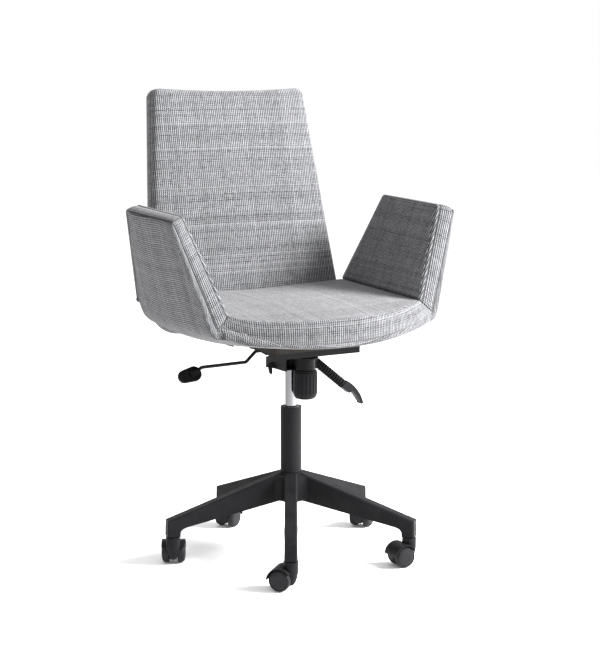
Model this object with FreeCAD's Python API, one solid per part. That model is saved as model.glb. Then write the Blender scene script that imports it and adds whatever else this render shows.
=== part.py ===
import FreeCAD, Part

import math
import os

from FreeCAD import Vector

# Swivel office chair, millimetres.
# +Z is up, the front of the seat faces -Y, and +X is the side of the tilt lock lever.
# The origin is on the swivel axis, at floor level.

# ---- driving dimensions ----
# five-arm base
ARM_COUNT = 5
FIRST_ARM_DEG = -121.0
CASTER_CIRCLE_R = 288.0
BASE_TIP_R = 303.0
BASE_ARM_W = 29.0
HUB_R = 31.0
HUB_TOP_Z = 200.5
HUB_BOTTOM_Z = 135.0
TIP_TOP_Z = 106.5
TIP_UNDER_Z = 86.0
POST_BOTTOM_Z = 68.0
BASE_WALL = 3.6
ARM_ROOT_X = 22.0
WEB_ARC_R = 22.0

# twin-wheel casters: the trail of each is turned to its own angle
CASTER_TRAIL_DEG = [132.0, 175.0, 33.0, 31.0, 59.0]
WHEEL_R = 25.0
WHEEL_W = 18.0
WHEEL_GAP = 20.0
CASTER_TRAIL = 21.0
HOOD_R = 29.0
HOOD_WALL = 2.6
HOOD_HALF_W = 27.0
CASTER_NECK_R = 16.5
AXLE_R = 3.0
STEM_R = 5.5
STEM_TOP_Z = 97.0

# gas column
TUBE_R = 25.0
TUBE_WALL = 2.0
TUBE_TOP_Z = 358.0
TUBE_BOTTOM_Z = 137.0
BEARING_TOP_Z = 149.0
CYLINDER_R = 14.0
CYLINDER_BORE_R = 11.5
CYLINDER_LOW_Z = 286.0
CYLINDER_BORE_TOP_Z = 440.0
CYLINDER_TOP_Z = 478.0
ROD_GUIDE_T = 12.0
PISTON_Z = 334.0
PISTON_T = 12.0
BUSH_LOW_Z = 290.0
BUTTON_R = 4.0
BUTTON_LOW_Z = 455.0
TAPER_TOP_R = 13.1
ROD_R = 5.0
RUN = 0.05

# tilt mechanism
HOUSING_LOW_Z = 449.0
HOUSING_WALL_TOP_Z = 478.0
HOUSING_HALF_W = 42.0
HOUSING_FRONT_Y = -46.0
HOUSING_FLOOR_FRONT_Y = -34.0
HOUSING_REAR_Y = 45.0
LUG_Y = 14.0
LUG_LOW_Z = 439.0
SHEET = 3.0
PIVOT_Y = -27.0
PIVOT_Z = 488.0
PIVOT_PIN_R = 4.0
KNOB_Y = -64.0
KNOB_R = 28.0
KNOB_LOW_Z = 385.0
KNOB_TOP_Z = 452.0
FLUTE_COUNT = 18
FLUTE_R = 3.0
CUP_R = 22.5
CUP_LOW_Z = 453.0
TONGUE_Z = 480.0
PLATE_Z = 502.0
PLATE_T = 4.0
PLATE_HALF_W = 112.0
PLATE_FRONT_Y = -122.0
PLATE_LIP = 10.0
CHEEK_X = 43.5
BOLT_R = 4.0
BOLT_LOW_Z = 400.0
COLLAR_R = 9.0
KNOB_FLOOR_Z = 433.5

# levers
LEVER_Z = 487.0
LEVER_PIVOT_X = 36.0
LEVER_R = 4.0
LOCK_BAR_TOP = (52.0, 0.0, 469.5)
LOCK_BAR_END = (146.0, 0.0, 394.5)
SLEEVE_R = 11.0
SLEEVE_GROOVE = 3.4
SLEEVE_RIBS = 13
SLEEVE_START = 14.0
SLEEVE_LENGTH = 101.0

# upholstered shell, right-hand side; the left is its mirror
SEAT_MID_Z = 606.0
SEAT_LOW_Z = 552.0
SHELL_FRONT_Y = -128.0
SHELL_REAR_Y = 199.0
BORDER_LOW_Z = 534.0
BORDER_TOP_Z = 594.0
BORDER_DEEP = 35.0
BORDER_END_X = 268.0
SEAT_FRONT_Y = -238.0
ARM_INNER_FRONT_LOW = (252.0, -159.0, 608.0)
ARM_INNER_FRONT_TOP = (335.0, -110.0, 822.0)
ARM_INNER_REAR_TOP = (332.0, 112.0, 833.0)
ARM_INNER_REAR_LOW = (266.0, 196.0, 622.0)
ARM_OUTER_FRONT_LOW = (285.0, -165.0, 579.0)
ARM_OUTER_FRONT_TOP = (370.0, -127.0, 812.0)
ARM_OUTER_REAR_TOP = (367.0, 115.0, 821.0)
ARM_OUTER_REAR_LOW = (302.0, 196.0, 600.0)
BACK_FOOT_Y = 193.0
BACK_FOOT_Z = 612.0
BACK_LEAN_DEG = 11.11
BACK_T = 44.0
BACK_LOW_HALF_W = 266.0
BACK_TOP_HALF_W = 207.0
BACK_BELOW = 90.0
BACK_ABOVE = 493.0
BACK_TOP_DIP = 6.0
BACK_CORNER_R = 20.0
BACK_FOOT_CORNER_R = 70.0
BACK_HEEL_R = 28.0
BOARD_T = 14.0
PANEL_T = 10.0
BRACKET_T = 4.0


# ---- small helpers ----
def vec(x, y, z):
    return Vector(x, y, z)


def box(x0, x1, y0, y1, z0, z1):
    """Box between two corners."""
    return Part.makeBox(x1 - x0, y1 - y0, z1 - z0, vec(x0, y0, z0))


def post(r, z0, z1, x=0.0, y=0.0):
    """Upright cylinder."""
    return Part.makeCylinder(r, z1 - z0, vec(x, y, z0))


def pin_x(r, x0, x1, y, z):
    return Part.makeCylinder(r, x1 - x0, vec(x0, y, z), vec(1, 0, 0))


def pin_y(r, y0, y1, x, z):
    return Part.makeCylinder(r, y1 - y0, vec(x, y0, z), vec(0, 1, 0))


def prism(points, along):
    """Closed polygon pushed along a vector."""
    corners = [vec(*p) for p in points]
    return Part.Face(Part.makePolygon(corners + [corners[0]])).extrude(along)


def turned(profile, x=0.0, y=0.0):
    """Solid of revolution about the vertical through x, y, from an (r, z) outline."""
    corners = [vec(r, 0, z) for r, z in profile]
    face = Part.Face(Part.makePolygon(corners + [corners[0]]))
    solid = face.revolve(vec(0, 0, 0), vec(0, 0, 1), 360)
    solid.translate(vec(x, y, 0))
    return solid


def fused(shapes):
    whole = shapes[0].multiFuse(shapes[1:])
    return whole.removeSplitter()


def edges_where(shape, test):
    return [e for e in shape.Edges if test(e)]


def round_rod(points, r, bend):
    """Bent round bar: straight runs joined by arcs of radius bend."""
    pts = [vec(*p) for p in points]
    edges = []
    start = pts[0]
    for before, corner, after in zip(pts, pts[1:], pts[2:]):
        u = (before - corner).normalize()
        v = (after - corner).normalize()
        half = u.getAngle(v) / 2
        back_off = bend / math.tan(half)
        a = corner + u * back_off
        b = corner + v * back_off
        middle = (u + v).normalize()
        m = corner + middle * (bend / math.sin(half) - bend)
        edges.append(Part.LineSegment(start, a).toShape())
        edges.append(Part.Arc(a, m, b).toShape())
        start = b
    edges.append(Part.LineSegment(start, pts[-1]).toShape())
    path = Part.Wire(edges)
    direction = pts[1] - pts[0]
    ring = Part.Wire(Part.Circle(pts[0], direction, r).toShape())
    return path.makePipeShell([ring], True, True)


def brick(low, high):
    """Solid between two four-cornered rings; its side faces may be twisted."""
    low = [vec(*p) for p in low]
    high = [vec(*p) for p in high]

    def ruled(a, b, c, d):
        return Part.makeRuledSurface(Part.makeLine(a, b), Part.makeLine(d, c))

    faces = [ruled(*low), ruled(*high)]
    for i in range(4):
        j = (i + 1) % 4
        faces.append(ruled(low[i], low[j], high[j], high[i]))
    shell = Part.makeShell(faces)
    shell.sewShape()
    solid = Part.makeSolid(shell)
    if solid.Volume < 0:
        solid.reverse()
    return solid


def mirrored(shape):
    return shape.mirror(vec(0, 0, 0), vec(1, 0, 0))


def blend_points(a, b, t):
    return tuple(p + (q - p) * t for p, q in zip(a, b))


# ---- five-arm base ----
def base_arm():
    """One arm along +X: a tapered beam with a post at its tip, hollow and ribbed below."""
    half = BASE_ARM_W / 2
    post_in = CASTER_CIRCLE_R - half
    side = [(ARM_ROOT_X, HUB_BOTTOM_Z), (HUB_R, HUB_BOTTOM_Z), (post_in - 16, TIP_UNDER_Z + 3),
            (post_in - 6, TIP_UNDER_Z - 1), (post_in - 1, TIP_UNDER_Z - 7),
            (post_in, POST_BOTTOM_Z), (BASE_TIP_R, POST_BOTTOM_Z), (BASE_TIP_R - 1, TIP_TOP_Z),
            (HUB_R + 14, HUB_TOP_Z - 5), (HUB_R, HUB_TOP_Z), (ARM_ROOT_X, HUB_TOP_Z)]
    beam = prism([(x, -half, z) for x, z in side], vec(0, BASE_ARM_W, 0))

    def outer_edge(e):
        c = e.CenterOfMass
        flat = abs(abs(c.y) - half) < 0.01
        upright = c.x > BASE_TIP_R - 2 and c.z < TIP_TOP_Z - 5
        sloping_top = c.x > HUB_R + 20 and c.z > 0.5 * (TIP_TOP_Z + HUB_TOP_Z) - 8 and e.Length > 100
        return flat and (upright or sloping_top)

    beam = beam.makeChamfer(3.2, edges_where(beam, outer_edge))
    inner_half = half - BASE_WALL
    slope = (TIP_TOP_Z - HUB_TOP_Z) / (BASE_TIP_R - HUB_R)
    rib_xs = [52.0, 104.0, 156.0, 208.0, 258.0]
    for x0, x1 in zip(rib_xs, rib_xs[1:]):
        x0 += BASE_WALL / 2
        x1 -= BASE_WALL / 2
        top0 = HUB_TOP_Z + slope * (x0 - HUB_R) - 2.2 * BASE_WALL
        top1 = HUB_TOP_Z + slope * (x1 - HUB_R) - 2.2 * BASE_WALL
        pocket = [(x0, -inner_half, 60), (x1, -inner_half, 60), (x1, -inner_half, top1),
                  (x0, -inner_half, top0)]
        beam = beam.cut(prism(pocket, vec(0, 2 * inner_half, 0)))
    return beam


def base_star():
    """Five arms on a hub with concave webs between them, bored for the column."""
    star = post(HUB_R, HUB_BOTTOM_Z - 0.7, HUB_TOP_Z + 0.6)
    for k in range(ARM_COUNT):
        angle = FIRST_ARM_DEG + k * 360.0 / ARM_COUNT
        arm = base_arm()
        arm.rotate(vec(0, 0, 0), vec(0, 0, 1), angle)
        web = hub_web()
        web.rotate(vec(0, 0, 0), vec(0, 0, 1), angle + 180.0 / ARM_COUNT)
        star = star.fuse(arm).fuse(web)
    star = star.cut(column_envelope())
    for k in range(ARM_COUNT):
        x, y = arm_point(k, CASTER_CIRCLE_R)
        star = star.cut(post(STEM_R + RUN, POST_BOTTOM_Z - 1, STEM_TOP_Z + 0.5, x, y))
    return star


def hub_web():
    """Web in the angle between two arms, about +X: a concave outer face and a sloping top."""
    half_angle = math.pi / ARM_COUNT
    sunk = BASE_ARM_W / 2 - 0.3
    centre = (WEB_ARC_R + sunk) / math.sin(half_angle)
    along = centre * math.cos(half_angle)
    c, s = math.cos(half_angle), math.sin(half_angle)
    touch = vec(along * c + sunk * s, along * s - sunk * c, 0)
    inside = vec(along * c + 0.4 * sunk * s, along * s - 0.4 * sunk * c, 0)
    inner = vec(22 * c, 22 * s, 0)
    lower = [vec(p.x, -p.y, 0) for p in (touch, inside, inner)]
    outline = [Part.Arc(lower[0], vec(centre - WEB_ARC_R, 0, 0), touch),
               Part.LineSegment(touch, inside), Part.LineSegment(inside, inner),
               Part.LineSegment(inner, lower[2]), Part.LineSegment(lower[2], lower[1]),
               Part.LineSegment(lower[1], lower[0])]
    plan = Part.Face(Part.Wire([e.toShape() for e in outline]))
    plan.translate(vec(0, 0, HUB_BOTTOM_Z + 1))
    web = plan.extrude(vec(0, 0, HUB_TOP_Z - HUB_BOTTOM_Z))
    far = HUB_R + 40
    return web.cut(turned([(HUB_R - 10, HUB_TOP_Z - 1.5), (HUB_R, HUB_TOP_Z - 3), (far, HUB_TOP_Z - 17),
                           (far, HUB_TOP_Z + 5), (HUB_R - 10, HUB_TOP_Z + 5)]))


def arm_point(k, r):
    angle = math.radians(FIRST_ARM_DEG + k * 360.0 / ARM_COUNT)
    return r * math.cos(angle), r * math.sin(angle)


# ---- gas column ----
def column_envelope():
    """Outside of the column where it sits in the hub, slightly tapered."""
    return turned([(0, HUB_BOTTOM_Z - 12), (TUBE_R - 0.8, HUB_BOTTOM_Z - 12),
                   (TUBE_R - 0.8, HUB_BOTTOM_Z), (TUBE_R, HUB_TOP_Z), (TUBE_R, HUB_TOP_Z + 1),
                   (0, HUB_TOP_Z + 1)])


def column_tube():
    inner = TUBE_R - TUBE_WALL - 0.8
    floor_top = TUBE_BOTTOM_Z + SHEET
    tube = turned([(ROD_R + 0.6, TUBE_BOTTOM_Z), (TUBE_R - 2, TUBE_BOTTOM_Z),
                   (TUBE_R - 0.8, TUBE_BOTTOM_Z + 2),
                   (TUBE_R, HUB_TOP_Z), (TUBE_R, TUBE_TOP_Z - 1.4), (TUBE_R - 0.6, TUBE_TOP_Z - 0.4),
                   (TUBE_R - 1.4, TUBE_TOP_Z), (inner, TUBE_TOP_Z), (inner, floor_top),
                   (ROD_R + 0.6, floor_top)])
    return tube


def guide_bush():
    outer = TUBE_R - TUBE_WALL - 0.8
    return turned([(CYLINDER_R + RUN, BUSH_LOW_Z), (outer, BUSH_LOW_Z), (outer, TUBE_TOP_Z - 1.5),
                   (CYLINDER_R + 1.2, TUBE_TOP_Z - 1.0), (CYLINDER_R + RUN, TUBE_TOP_Z - 2.0)])


def piston_rod():
    """Rod that stands on the thrust bearing, with the piston at its top."""
    end = TUBE_BOTTOM_Z - 5
    seat = BEARING_TOP_Z
    return turned([(0, end), (ROD_R - 1, end), (ROD_R, end + 1), (ROD_R, seat), (9, seat),
                   (9, seat + 6), (ROD_R, seat + 6), (ROD_R, PISTON_Z),
                   (CYLINDER_BORE_R - RUN, PISTON_Z),
                   (CYLINDER_BORE_R - RUN, PISTON_Z + PISTON_T), (0, PISTON_Z + PISTON_T)])


def thrust_bearing():
    low = TUBE_BOTTOM_Z + SHEET + RUN
    return turned([(ROD_R, low), (16, low), (16, low + 3), (14.5, low + 3.4), (14.5, low + 5),
                   (16, low + 5.4), (16, BEARING_TOP_Z), (ROD_R, BEARING_TOP_Z)])


def retaining_clip():
    low = TUBE_BOTTOM_Z - 3.5
    ring = turned([(ROD_R, low), (9.5, low), (9.5, TUBE_BOTTOM_Z - 0.3),
                   (ROD_R, TUBE_BOTTOM_Z - 0.3)])
    return ring.cut(box(0, 12, -2, 2, low - 1, TUBE_BOTTOM_Z))


def gas_cylinder():
    body = turned([(CYLINDER_BORE_R, CYLINDER_LOW_Z), (CYLINDER_R, CYLINDER_LOW_Z),
                   (CYLINDER_R, HOUSING_LOW_Z + SHEET), (TAPER_TOP_R, CYLINDER_TOP_Z),
                   (BUTTON_R + RUN, CYLINDER_TOP_Z), (BUTTON_R + RUN, BUTTON_LOW_Z), (0, BUTTON_LOW_Z),
                   (0, CYLINDER_BORE_TOP_Z), (CYLINDER_BORE_R, CYLINDER_BORE_TOP_Z)])
    return body


def rod_guide():
    return turned([(ROD_R + RUN, CYLINDER_LOW_Z), (CYLINDER_BORE_R, CYLINDER_LOW_Z),
                   (CYLINDER_BORE_R, CYLINDER_LOW_Z + ROD_GUIDE_T),
                   (ROD_R + RUN, CYLINDER_LOW_Z + ROD_GUIDE_T)])


def release_button():
    low = BUTTON_LOW_Z + 5
    top = CYLINDER_TOP_Z + 4.4
    return turned([(0, low), (BUTTON_R, low), (BUTTON_R, top - 1), (BUTTON_R - 1, top), (0, top)])


# ---- tilt mechanism ----
def taper_socket():
    outer = CYLINDER_R + 4
    return turned([(CYLINDER_R, HOUSING_LOW_Z), (outer, HOUSING_LOW_Z), (outer, CYLINDER_TOP_Z - 2),
                   (outer - 2, CYLINDER_TOP_Z), (TAPER_TOP_R, CYLINDER_TOP_Z),
                   (CYLINDER_R, HOUSING_LOW_Z + SHEET)])


def lever_bracket(side):
    """Ear on one wall that carries a lever's trunnion between two cheeks."""
    x_wall = HOUSING_HALF_W
    wall = box(x_wall - SHEET, x_wall, -9, 9, HOUSING_WALL_TOP_Z - 2, 493)
    wall = wall.cut(box(x_wall - 5, x_wall + 1, -5.5, 5.5, 478, 494))
    cheeks = [box(x_wall - 14, x_wall, y0, y0 + 2, 476, 493) for y0 in (-9.0, 7.0)]
    ear = fused([wall] + cheeks)
    ear = ear.cut(pin_y(4.5 + RUN, -12, 12, LEVER_PIVOT_X, LEVER_Z))
    return ear if side > 0 else mirrored(ear)


def mechanism_housing():
    """Folded steel channel, open at the front, with a tongue over the spring cup."""
    w = HOUSING_HALF_W
    floor = box(-w, w, HOUSING_FLOOR_FRONT_Y, HOUSING_REAR_Y, HOUSING_LOW_Z, HOUSING_LOW_Z + SHEET)
    rear = box(-w, w, HOUSING_REAR_Y - SHEET, HOUSING_REAR_Y, HOUSING_LOW_Z, HOUSING_WALL_TOP_Z - 6)
    wall_outline = [(0, HOUSING_FRONT_Y, HOUSING_LOW_Z), (0, HOUSING_REAR_Y, HOUSING_LOW_Z),
                    (0, HOUSING_REAR_Y, HOUSING_WALL_TOP_Z - 6),
                    (0, 20, HOUSING_WALL_TOP_Z), (0, PIVOT_Y + 9, HOUSING_WALL_TOP_Z),
                    (0, PIVOT_Y + 9, PIVOT_Z), (0, PIVOT_Y - 9, PIVOT_Z),
                    (0, HOUSING_FRONT_Y, TONGUE_Z + SHEET)]
    walls = []
    for x0 in (-w, w - SHEET):
        wall = prism(wall_outline, vec(SHEET, 0, 0))
        wall.translate(vec(x0, 0, 0))
        walls += [wall, pin_x(9, x0, x0 + SHEET, PIVOT_Y, PIVOT_Z)]
    tongue = fused([box(-w, w, HOUSING_FRONT_Y, HOUSING_FRONT_Y + 9, TONGUE_Z, TONGUE_Z + SHEET),
                    box(-28, 28, KNOB_Y - 10, HOUSING_FRONT_Y + 1, TONGUE_Z, TONGUE_Z + SHEET),
                    post(28, TONGUE_Z, TONGUE_Z + SHEET, 0, KNOB_Y - 4)])
    body = fused([floor, rear, tongue, lever_bracket(1), lever_bracket(-1)] + walls)
    body = body.cut(post(CYLINDER_R + 4, HOUSING_LOW_Z - 1, HOUSING_LOW_Z + SHEET + 1))
    body = body.cut(box(w - SHEET - 1, w + 1, -5.5, 5.5, 468, PLATE_Z))
    body = body.cut(pin_x(PIVOT_PIN_R, -60, 60, PIVOT_Y, PIVOT_Z))
    body = body.cut(post(BOLT_R + 1, TONGUE_Z - 1, TONGUE_Z + SHEET + 1, 0, KNOB_Y))
    return body


def spring_cup():
    """Cover round the tension spring, hung from the housing's tongue."""
    return turned([(CUP_R - 2, CUP_LOW_Z), (CUP_R, CUP_LOW_Z), (CUP_R, TONGUE_Z - 2),
                   (CUP_R + 3, TONGUE_Z - 2), (CUP_R + 3, TONGUE_Z), (BOLT_R + 1, TONGUE_Z),
                   (BOLT_R + 1, TONGUE_Z - 2), (CUP_R - 2, TONGUE_Z - 2)], 0, KNOB_Y)


def tilt_pivot_pin():
    return fused([pin_x(PIVOT_PIN_R, -51, 51, PIVOT_Y, PIVOT_Z),
                  pin_x(7, -52.5, -49.5, PIVOT_Y, PIVOT_Z), pin_x(7, 49.5, 52.5, PIVOT_Y, PIVOT_Z)])


def rear_lug():
    """Drop-shaped hanging lug behind the housing's left wall, with a short pin."""
    y0 = LUG_Y
    x0 = -HOUSING_HALF_W - 3
    z0 = LUG_LOW_Z
    drop = fused([pin_y(4.5, y0, y0 + SHEET, x0, z0), pin_y(8, y0, y0 + SHEET, x0, z0 + 14),
                  prism([(x0 - 4.4, y0, z0 - 1), (x0 + 4.4, y0, z0 - 1), (x0 + 8, y0, z0 + 13),
                         (x0 - 8, y0, z0 + 13)], vec(0, SHEET, 0))])
    arm = box(-HOUSING_HALF_W - 8, -HOUSING_HALF_W, y0, y0 + SHEET, z0 + 12, z0 + 24)
    pin = pin_x(2.6, x0 - 13, x0 - 4, y0 + 1.5, z0 + 15)
    return fused([drop, arm, pin]).cut(box(-HOUSING_HALF_W, 0, 0, HOUSING_REAR_Y, z0 - 20, z0 + 40))


def tension_bolt():
    """Bolt through the spring; its cross barrel lies on the seat plate."""
    barrel_z = PLATE_Z + PLATE_T + 0.3 + 5
    return fused([post(BOLT_R, BOLT_LOW_Z, barrel_z, 0, KNOB_Y), pin_x(5, -12, 12, KNOB_Y, barrel_z),
                  post(COLLAR_R, BOLT_LOW_Z + 4, BOLT_LOW_Z + 8, 0, KNOB_Y)])


def tension_spring():
    """Coil between the knob's washer and the cup's top."""
    wire_r = 2.3
    coil_r = 15.0
    low = KNOB_FLOOR_Z + wire_r + 0.2
    high = TONGUE_Z - 2 - wire_r - 0.2
    helix = Part.makeHelix(8.0, high - low, coil_r)
    ring = Part.Wire(Part.Circle(vec(coil_r, 0, 0), vec(0, 1, 0), wire_r).toShape())
    coil = Part.Wire(helix).makePipeShell([ring], True, True)
    coil.translate(vec(0, KNOB_Y, low))
    return coil


def tension_knob():
    """Round-bottomed fluted hand knob with an open top that slides over the cup."""
    socket_r = COLLAR_R + RUN
    body = turned([(0, KNOB_LOW_Z), (KNOB_R - 12, KNOB_LOW_Z), (KNOB_R - 6, KNOB_LOW_Z + 2),
                   (KNOB_R - 2, KNOB_LOW_Z + 7), (KNOB_R, KNOB_LOW_Z + 15), (KNOB_R, KNOB_TOP_Z - 5),
                   (KNOB_R - 1.5, KNOB_TOP_Z - 2), (KNOB_R - 1.5, KNOB_TOP_Z), (CUP_R + 0.6, KNOB_TOP_Z),
                   (CUP_R + 0.6, KNOB_FLOOR_Z), (socket_r, KNOB_FLOOR_Z), (socket_r, BOLT_LOW_Z - RUN),
                   (0, BOLT_LOW_Z - RUN)])
    for i in range(FLUTE_COUNT):
        flute = post(FLUTE_R, KNOB_LOW_Z + 6, KNOB_TOP_Z - 7, KNOB_R + 0.35 * FLUTE_R, 0)
        flute.rotate(vec(0, 0, 0), vec(0, 0, 1), i * 360.0 / FLUTE_COUNT)
        body = body.cut(flute)
    body.translate(vec(0, KNOB_Y, 0))
    return body


# ---- levers ----
def gas_lever_rod():
    """Bent bar from above the release button, through the housing ear, to the paddle."""
    points = [(6, 0, LEVER_Z), (-66, 0, LEVER_Z), (-80, 0, 495), (-95, 0, 495), (-121, 0, 472),
              (-236, 0, 470), (-246, 0, 464), (-262, -2, 459)]
    bar = round_rod(points, LEVER_R, 7.0)
    trunnion = pin_y(4.5, -9, 9, -LEVER_PIVOT_X, LEVER_Z)
    return fused([bar, trunnion])


def gas_lever_paddle():
    """Finger paddle: an oval dished plate with a raised rim and a boss for the bar."""
    x_in = -258.0
    x_out = -283.0
    rim = 3.0

    def oval(r_out, r_in, z0, z1):
        waist = prism([(x_out, -r_out, z0), (x_in, -r_in, z0), (x_in, r_in, z0), (x_out, r_out, z0)],
                      vec(0, 0, z1 - z0))
        return fused([post(r_out, z0, z1, x_out, 0), post(r_in, z0, z1, x_in, 0), waist])

    plate = oval(15.0, 17.5, 0, 7).cut(oval(15.0 - rim, 17.5 - rim, 4, 8))
    plate = fused([plate, box(-268, -244, -6, 6, 1, 12)])
    plate.rotate(vec(-264, 0, 0), vec(1, 0, 0), 62)
    plate.translate(vec(0, -2, 455))
    plate.rotate(vec(-264, 0, 455), vec(0, 1, 0), -10)
    return plate.cut(gas_lever_rod())


def lock_direction():
    return (vec(*LOCK_BAR_END) - vec(*LOCK_BAR_TOP)).normalize()


def lock_lever_rod():
    points = [(LEVER_PIVOT_X - 3, 0, LEVER_Z + 1), LOCK_BAR_TOP, LOCK_BAR_END]
    bar = round_rod(points, LEVER_R, 30.0)
    trunnion = pin_y(4.5, -9, 9, LEVER_PIVOT_X, LEVER_Z)
    return fused([bar, trunnion])


def lock_lever_sleeve():
    """Ribbed rubber gaiter round the bar."""
    pitch = SLEEVE_LENGTH / SLEEVE_RIBS
    profile = [(LEVER_R + 0.3, 0)]
    for i in range(SLEEVE_RIBS):
        z = i * pitch
        profile += [(SLEEVE_R - SLEEVE_GROOVE, z), (SLEEVE_R, z + 0.3 * pitch), (SLEEVE_R, z + 0.7 * pitch)]
    profile += [(SLEEVE_R - SLEEVE_GROOVE, SLEEVE_LENGTH), (LEVER_R + 0.3, SLEEVE_LENGTH)]
    sleeve = turned(profile)
    start = vec(*LOCK_BAR_TOP) + lock_direction() * SLEEVE_START
    sleeve.Placement = FreeCAD.Placement(start, FreeCAD.Rotation(vec(0, 0, 1), lock_direction()))
    return sleeve.cut(lock_lever_rod())


def lock_lever_handle():
    """Flared finger grip: a thick root, a step, and a curved blade down to the tip."""
    upper = Part.Arc(vec(150, 0, 405), vec(177, 0, 384), vec(197, 0, 349)).toShape()
    tip = Part.Arc(vec(197, 0, 349), vec(194.5, 0, 344), vec(190, 0, 348)).toShape()
    lower = Part.Arc(vec(190, 0, 348), vec(177, 0, 366), vec(166, 0, 378)).toShape()
    corners = [vec(166, 0, 378), vec(158, 0, 374), vec(136, 0, 390), vec(150, 0, 405)]
    edges = [upper, tip, lower]
    edges += [Part.LineSegment(a, b).toShape() for a, b in zip(corners, corners[1:])]
    blade = Part.Face(Part.Wire(edges))
    blade.translate(vec(0, -9, 0))
    solid = blade.extrude(vec(0, 18, 0))
    return solid.cut(lock_lever_rod()).cut(lock_lever_sleeve())


# ---- seat plate and inner frame ----
def seat_plate():
    """Stamped plate under the seat, with two cheeks on the tilt pivot."""
    top = PLATE_Z + PLATE_T
    w = PLATE_HALF_W
    front = PLATE_FRONT_Y
    parts = [box(-w, w, front, -88, PLATE_Z, top), box(-w, w, 78, 112, PLATE_Z, top),
             box(-60, 60, -90, 80, PLATE_Z, top), box(-w, w, front, front + SHEET, PLATE_Z - PLATE_LIP, top)]
    for side in (-1, 1):
        lip = box(w - SHEET, w, front, -88, PLATE_Z - 6, top)
        rear_lip = box(w - SHEET, w, 78, 112, PLATE_Z - 6, top)
        cheek = prism([(CHEEK_X, -62, PLATE_Z + 1), (CHEEK_X, -6, PLATE_Z + 1),
                       (CHEEK_X, PIVOT_Y + 11, PIVOT_Z - 8), (CHEEK_X, PIVOT_Y - 11, PIVOT_Z - 8)],
                      vec(SHEET, 0, 0))
        for piece in (lip, rear_lip, cheek):
            parts.append(piece if side > 0 else mirrored(piece))
    plate = fused(parts)
    plate = plate.cut(box(-36, 36, -42, 50, PLATE_Z - 1, top + 1))
    slot = fused([box(-BOLT_R - 1, BOLT_R + 1, KNOB_Y - 6, KNOB_Y + 1, PLATE_Z - 1, top + 1),
                  post(BOLT_R + 1, PLATE_Z - 1, top + 1, 0, KNOB_Y - 6),
                  post(BOLT_R + 1, PLATE_Z - 1, top + 1, 0, KNOB_Y + 1)])
    plate = plate.cut(slot)
    for x, y in bolt_places():
        plate = plate.cut(post(3.2, PLATE_Z - 1, top + 1, x, y))
    return plate.cut(pin_x(6, -60, 60, PIVOT_Y, PIVOT_Z))


def bolt_places():
    return [(x, y) for x in (-90.0, 90.0) for y in (-105.0, 95.0)]


def pivot_bushes():
    """Two flanged bushes between the pivot pin and the seat plate's cheeks."""
    bushes = []
    for side in (-1, 1):
        bush = fused([pin_x(6, CHEEK_X - 0.9, CHEEK_X + SHEET, PIVOT_Y, PIVOT_Z),
                      pin_x(8, CHEEK_X + SHEET, CHEEK_X + SHEET + 2, PIVOT_Y, PIVOT_Z)])
        bush = bush.cut(pin_x(PIVOT_PIN_R + RUN, 40, 60, PIVOT_Y, PIVOT_Z))
        bushes.append(bush if side > 0 else mirrored(bush))
    return Part.makeCompound(bushes)


def seat_bolts():
    """Four bolts up through the plate into the seat board."""
    bolts = []
    for x, y in bolt_places():
        head = prism([(x + 5.8 * math.cos(a), y + 5.8 * math.sin(a), PLATE_Z - 5)
                      for a in [math.radians(60 * i) for i in range(6)]], vec(0, 0, 5))
        bolts.append(fused([head, post(3.2, PLATE_Z - 1, PLATE_Z + PLATE_T + 12, x, y)]))
    return Part.makeCompound(bolts)


def seat_board():
    """Plywood board at the bottom of the seat, relieved for the levers and the bolt's barrel."""
    low = PLATE_Z + PLATE_T
    board = box(-120, 120, -126, 130, low, low + BOARD_T)
    board = board.makeFillet(18, edges_where(board, lambda e: abs(e.Length - BOARD_T) < 0.01))
    for x0 in (-130.0, 68.0):
        board = board.cut(box(x0, x0 + 62, -14, 14, low - 1, low + BOARD_T + 1))
    board = board.cut(box(-15, 15, KNOB_Y - 14, KNOB_Y + 9, low - 1, low + BOARD_T + 1))
    for bolt in seat_bolts().Solids:
        board = board.cut(bolt)
    return board


def back_frame_points(half_w, along, deep):
    """Point on the leaning back: half width, distance up the back, depth behind its front."""
    lean = math.radians(BACK_LEAN_DEG)
    y = BACK_FOOT_Y + along * math.sin(lean) + deep * math.cos(lean)
    z = BACK_FOOT_Z + along * math.cos(lean) - deep * math.sin(lean)
    return half_w, y, z


def back_depth_vector(deep):
    lean = math.radians(BACK_LEAN_DEG)
    return vec(0, deep * math.cos(lean), -deep * math.sin(lean))


def back_board():
    """Plywood panel inside the back."""
    deep = 22.0
    corners = [(-185, 20), (185, 20), (150, 450), (-150, 450)]
    return prism([back_frame_points(x, s, deep) for x, s in corners], back_depth_vector(PANEL_T))


def arm_corners(t0, t1, low_inset, high_inset, front_inset, rear_inset):
    """Eight corners of a slab inside the right arm, between two depths of its thickness."""
    inner = [ARM_INNER_FRONT_LOW, ARM_INNER_FRONT_TOP, ARM_INNER_REAR_TOP, ARM_INNER_REAR_LOW]
    outer = [ARM_OUTER_FRONT_LOW, ARM_OUTER_FRONT_TOP, ARM_OUTER_REAR_TOP, ARM_OUTER_REAR_LOW]

    def ring(t):
        fl, ft, rt, rl = [blend_points(a, b, t) for a, b in zip(inner, outer)]

        def inside(u, v):
            return blend_points(blend_points(fl, rl, u), blend_points(ft, rt, u), v)

        return [inside(front_inset, low_inset), inside(front_inset, 1 - high_inset),
                inside(1 - rear_inset, 1 - high_inset), inside(1 - rear_inset, low_inset)]

    return ring(t0), ring(t1)


def arm_board():
    near, far = arm_corners(0.42, 0.62, 0.10, 0.14, 0.14, 0.16)
    return brick(near, far)


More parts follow.
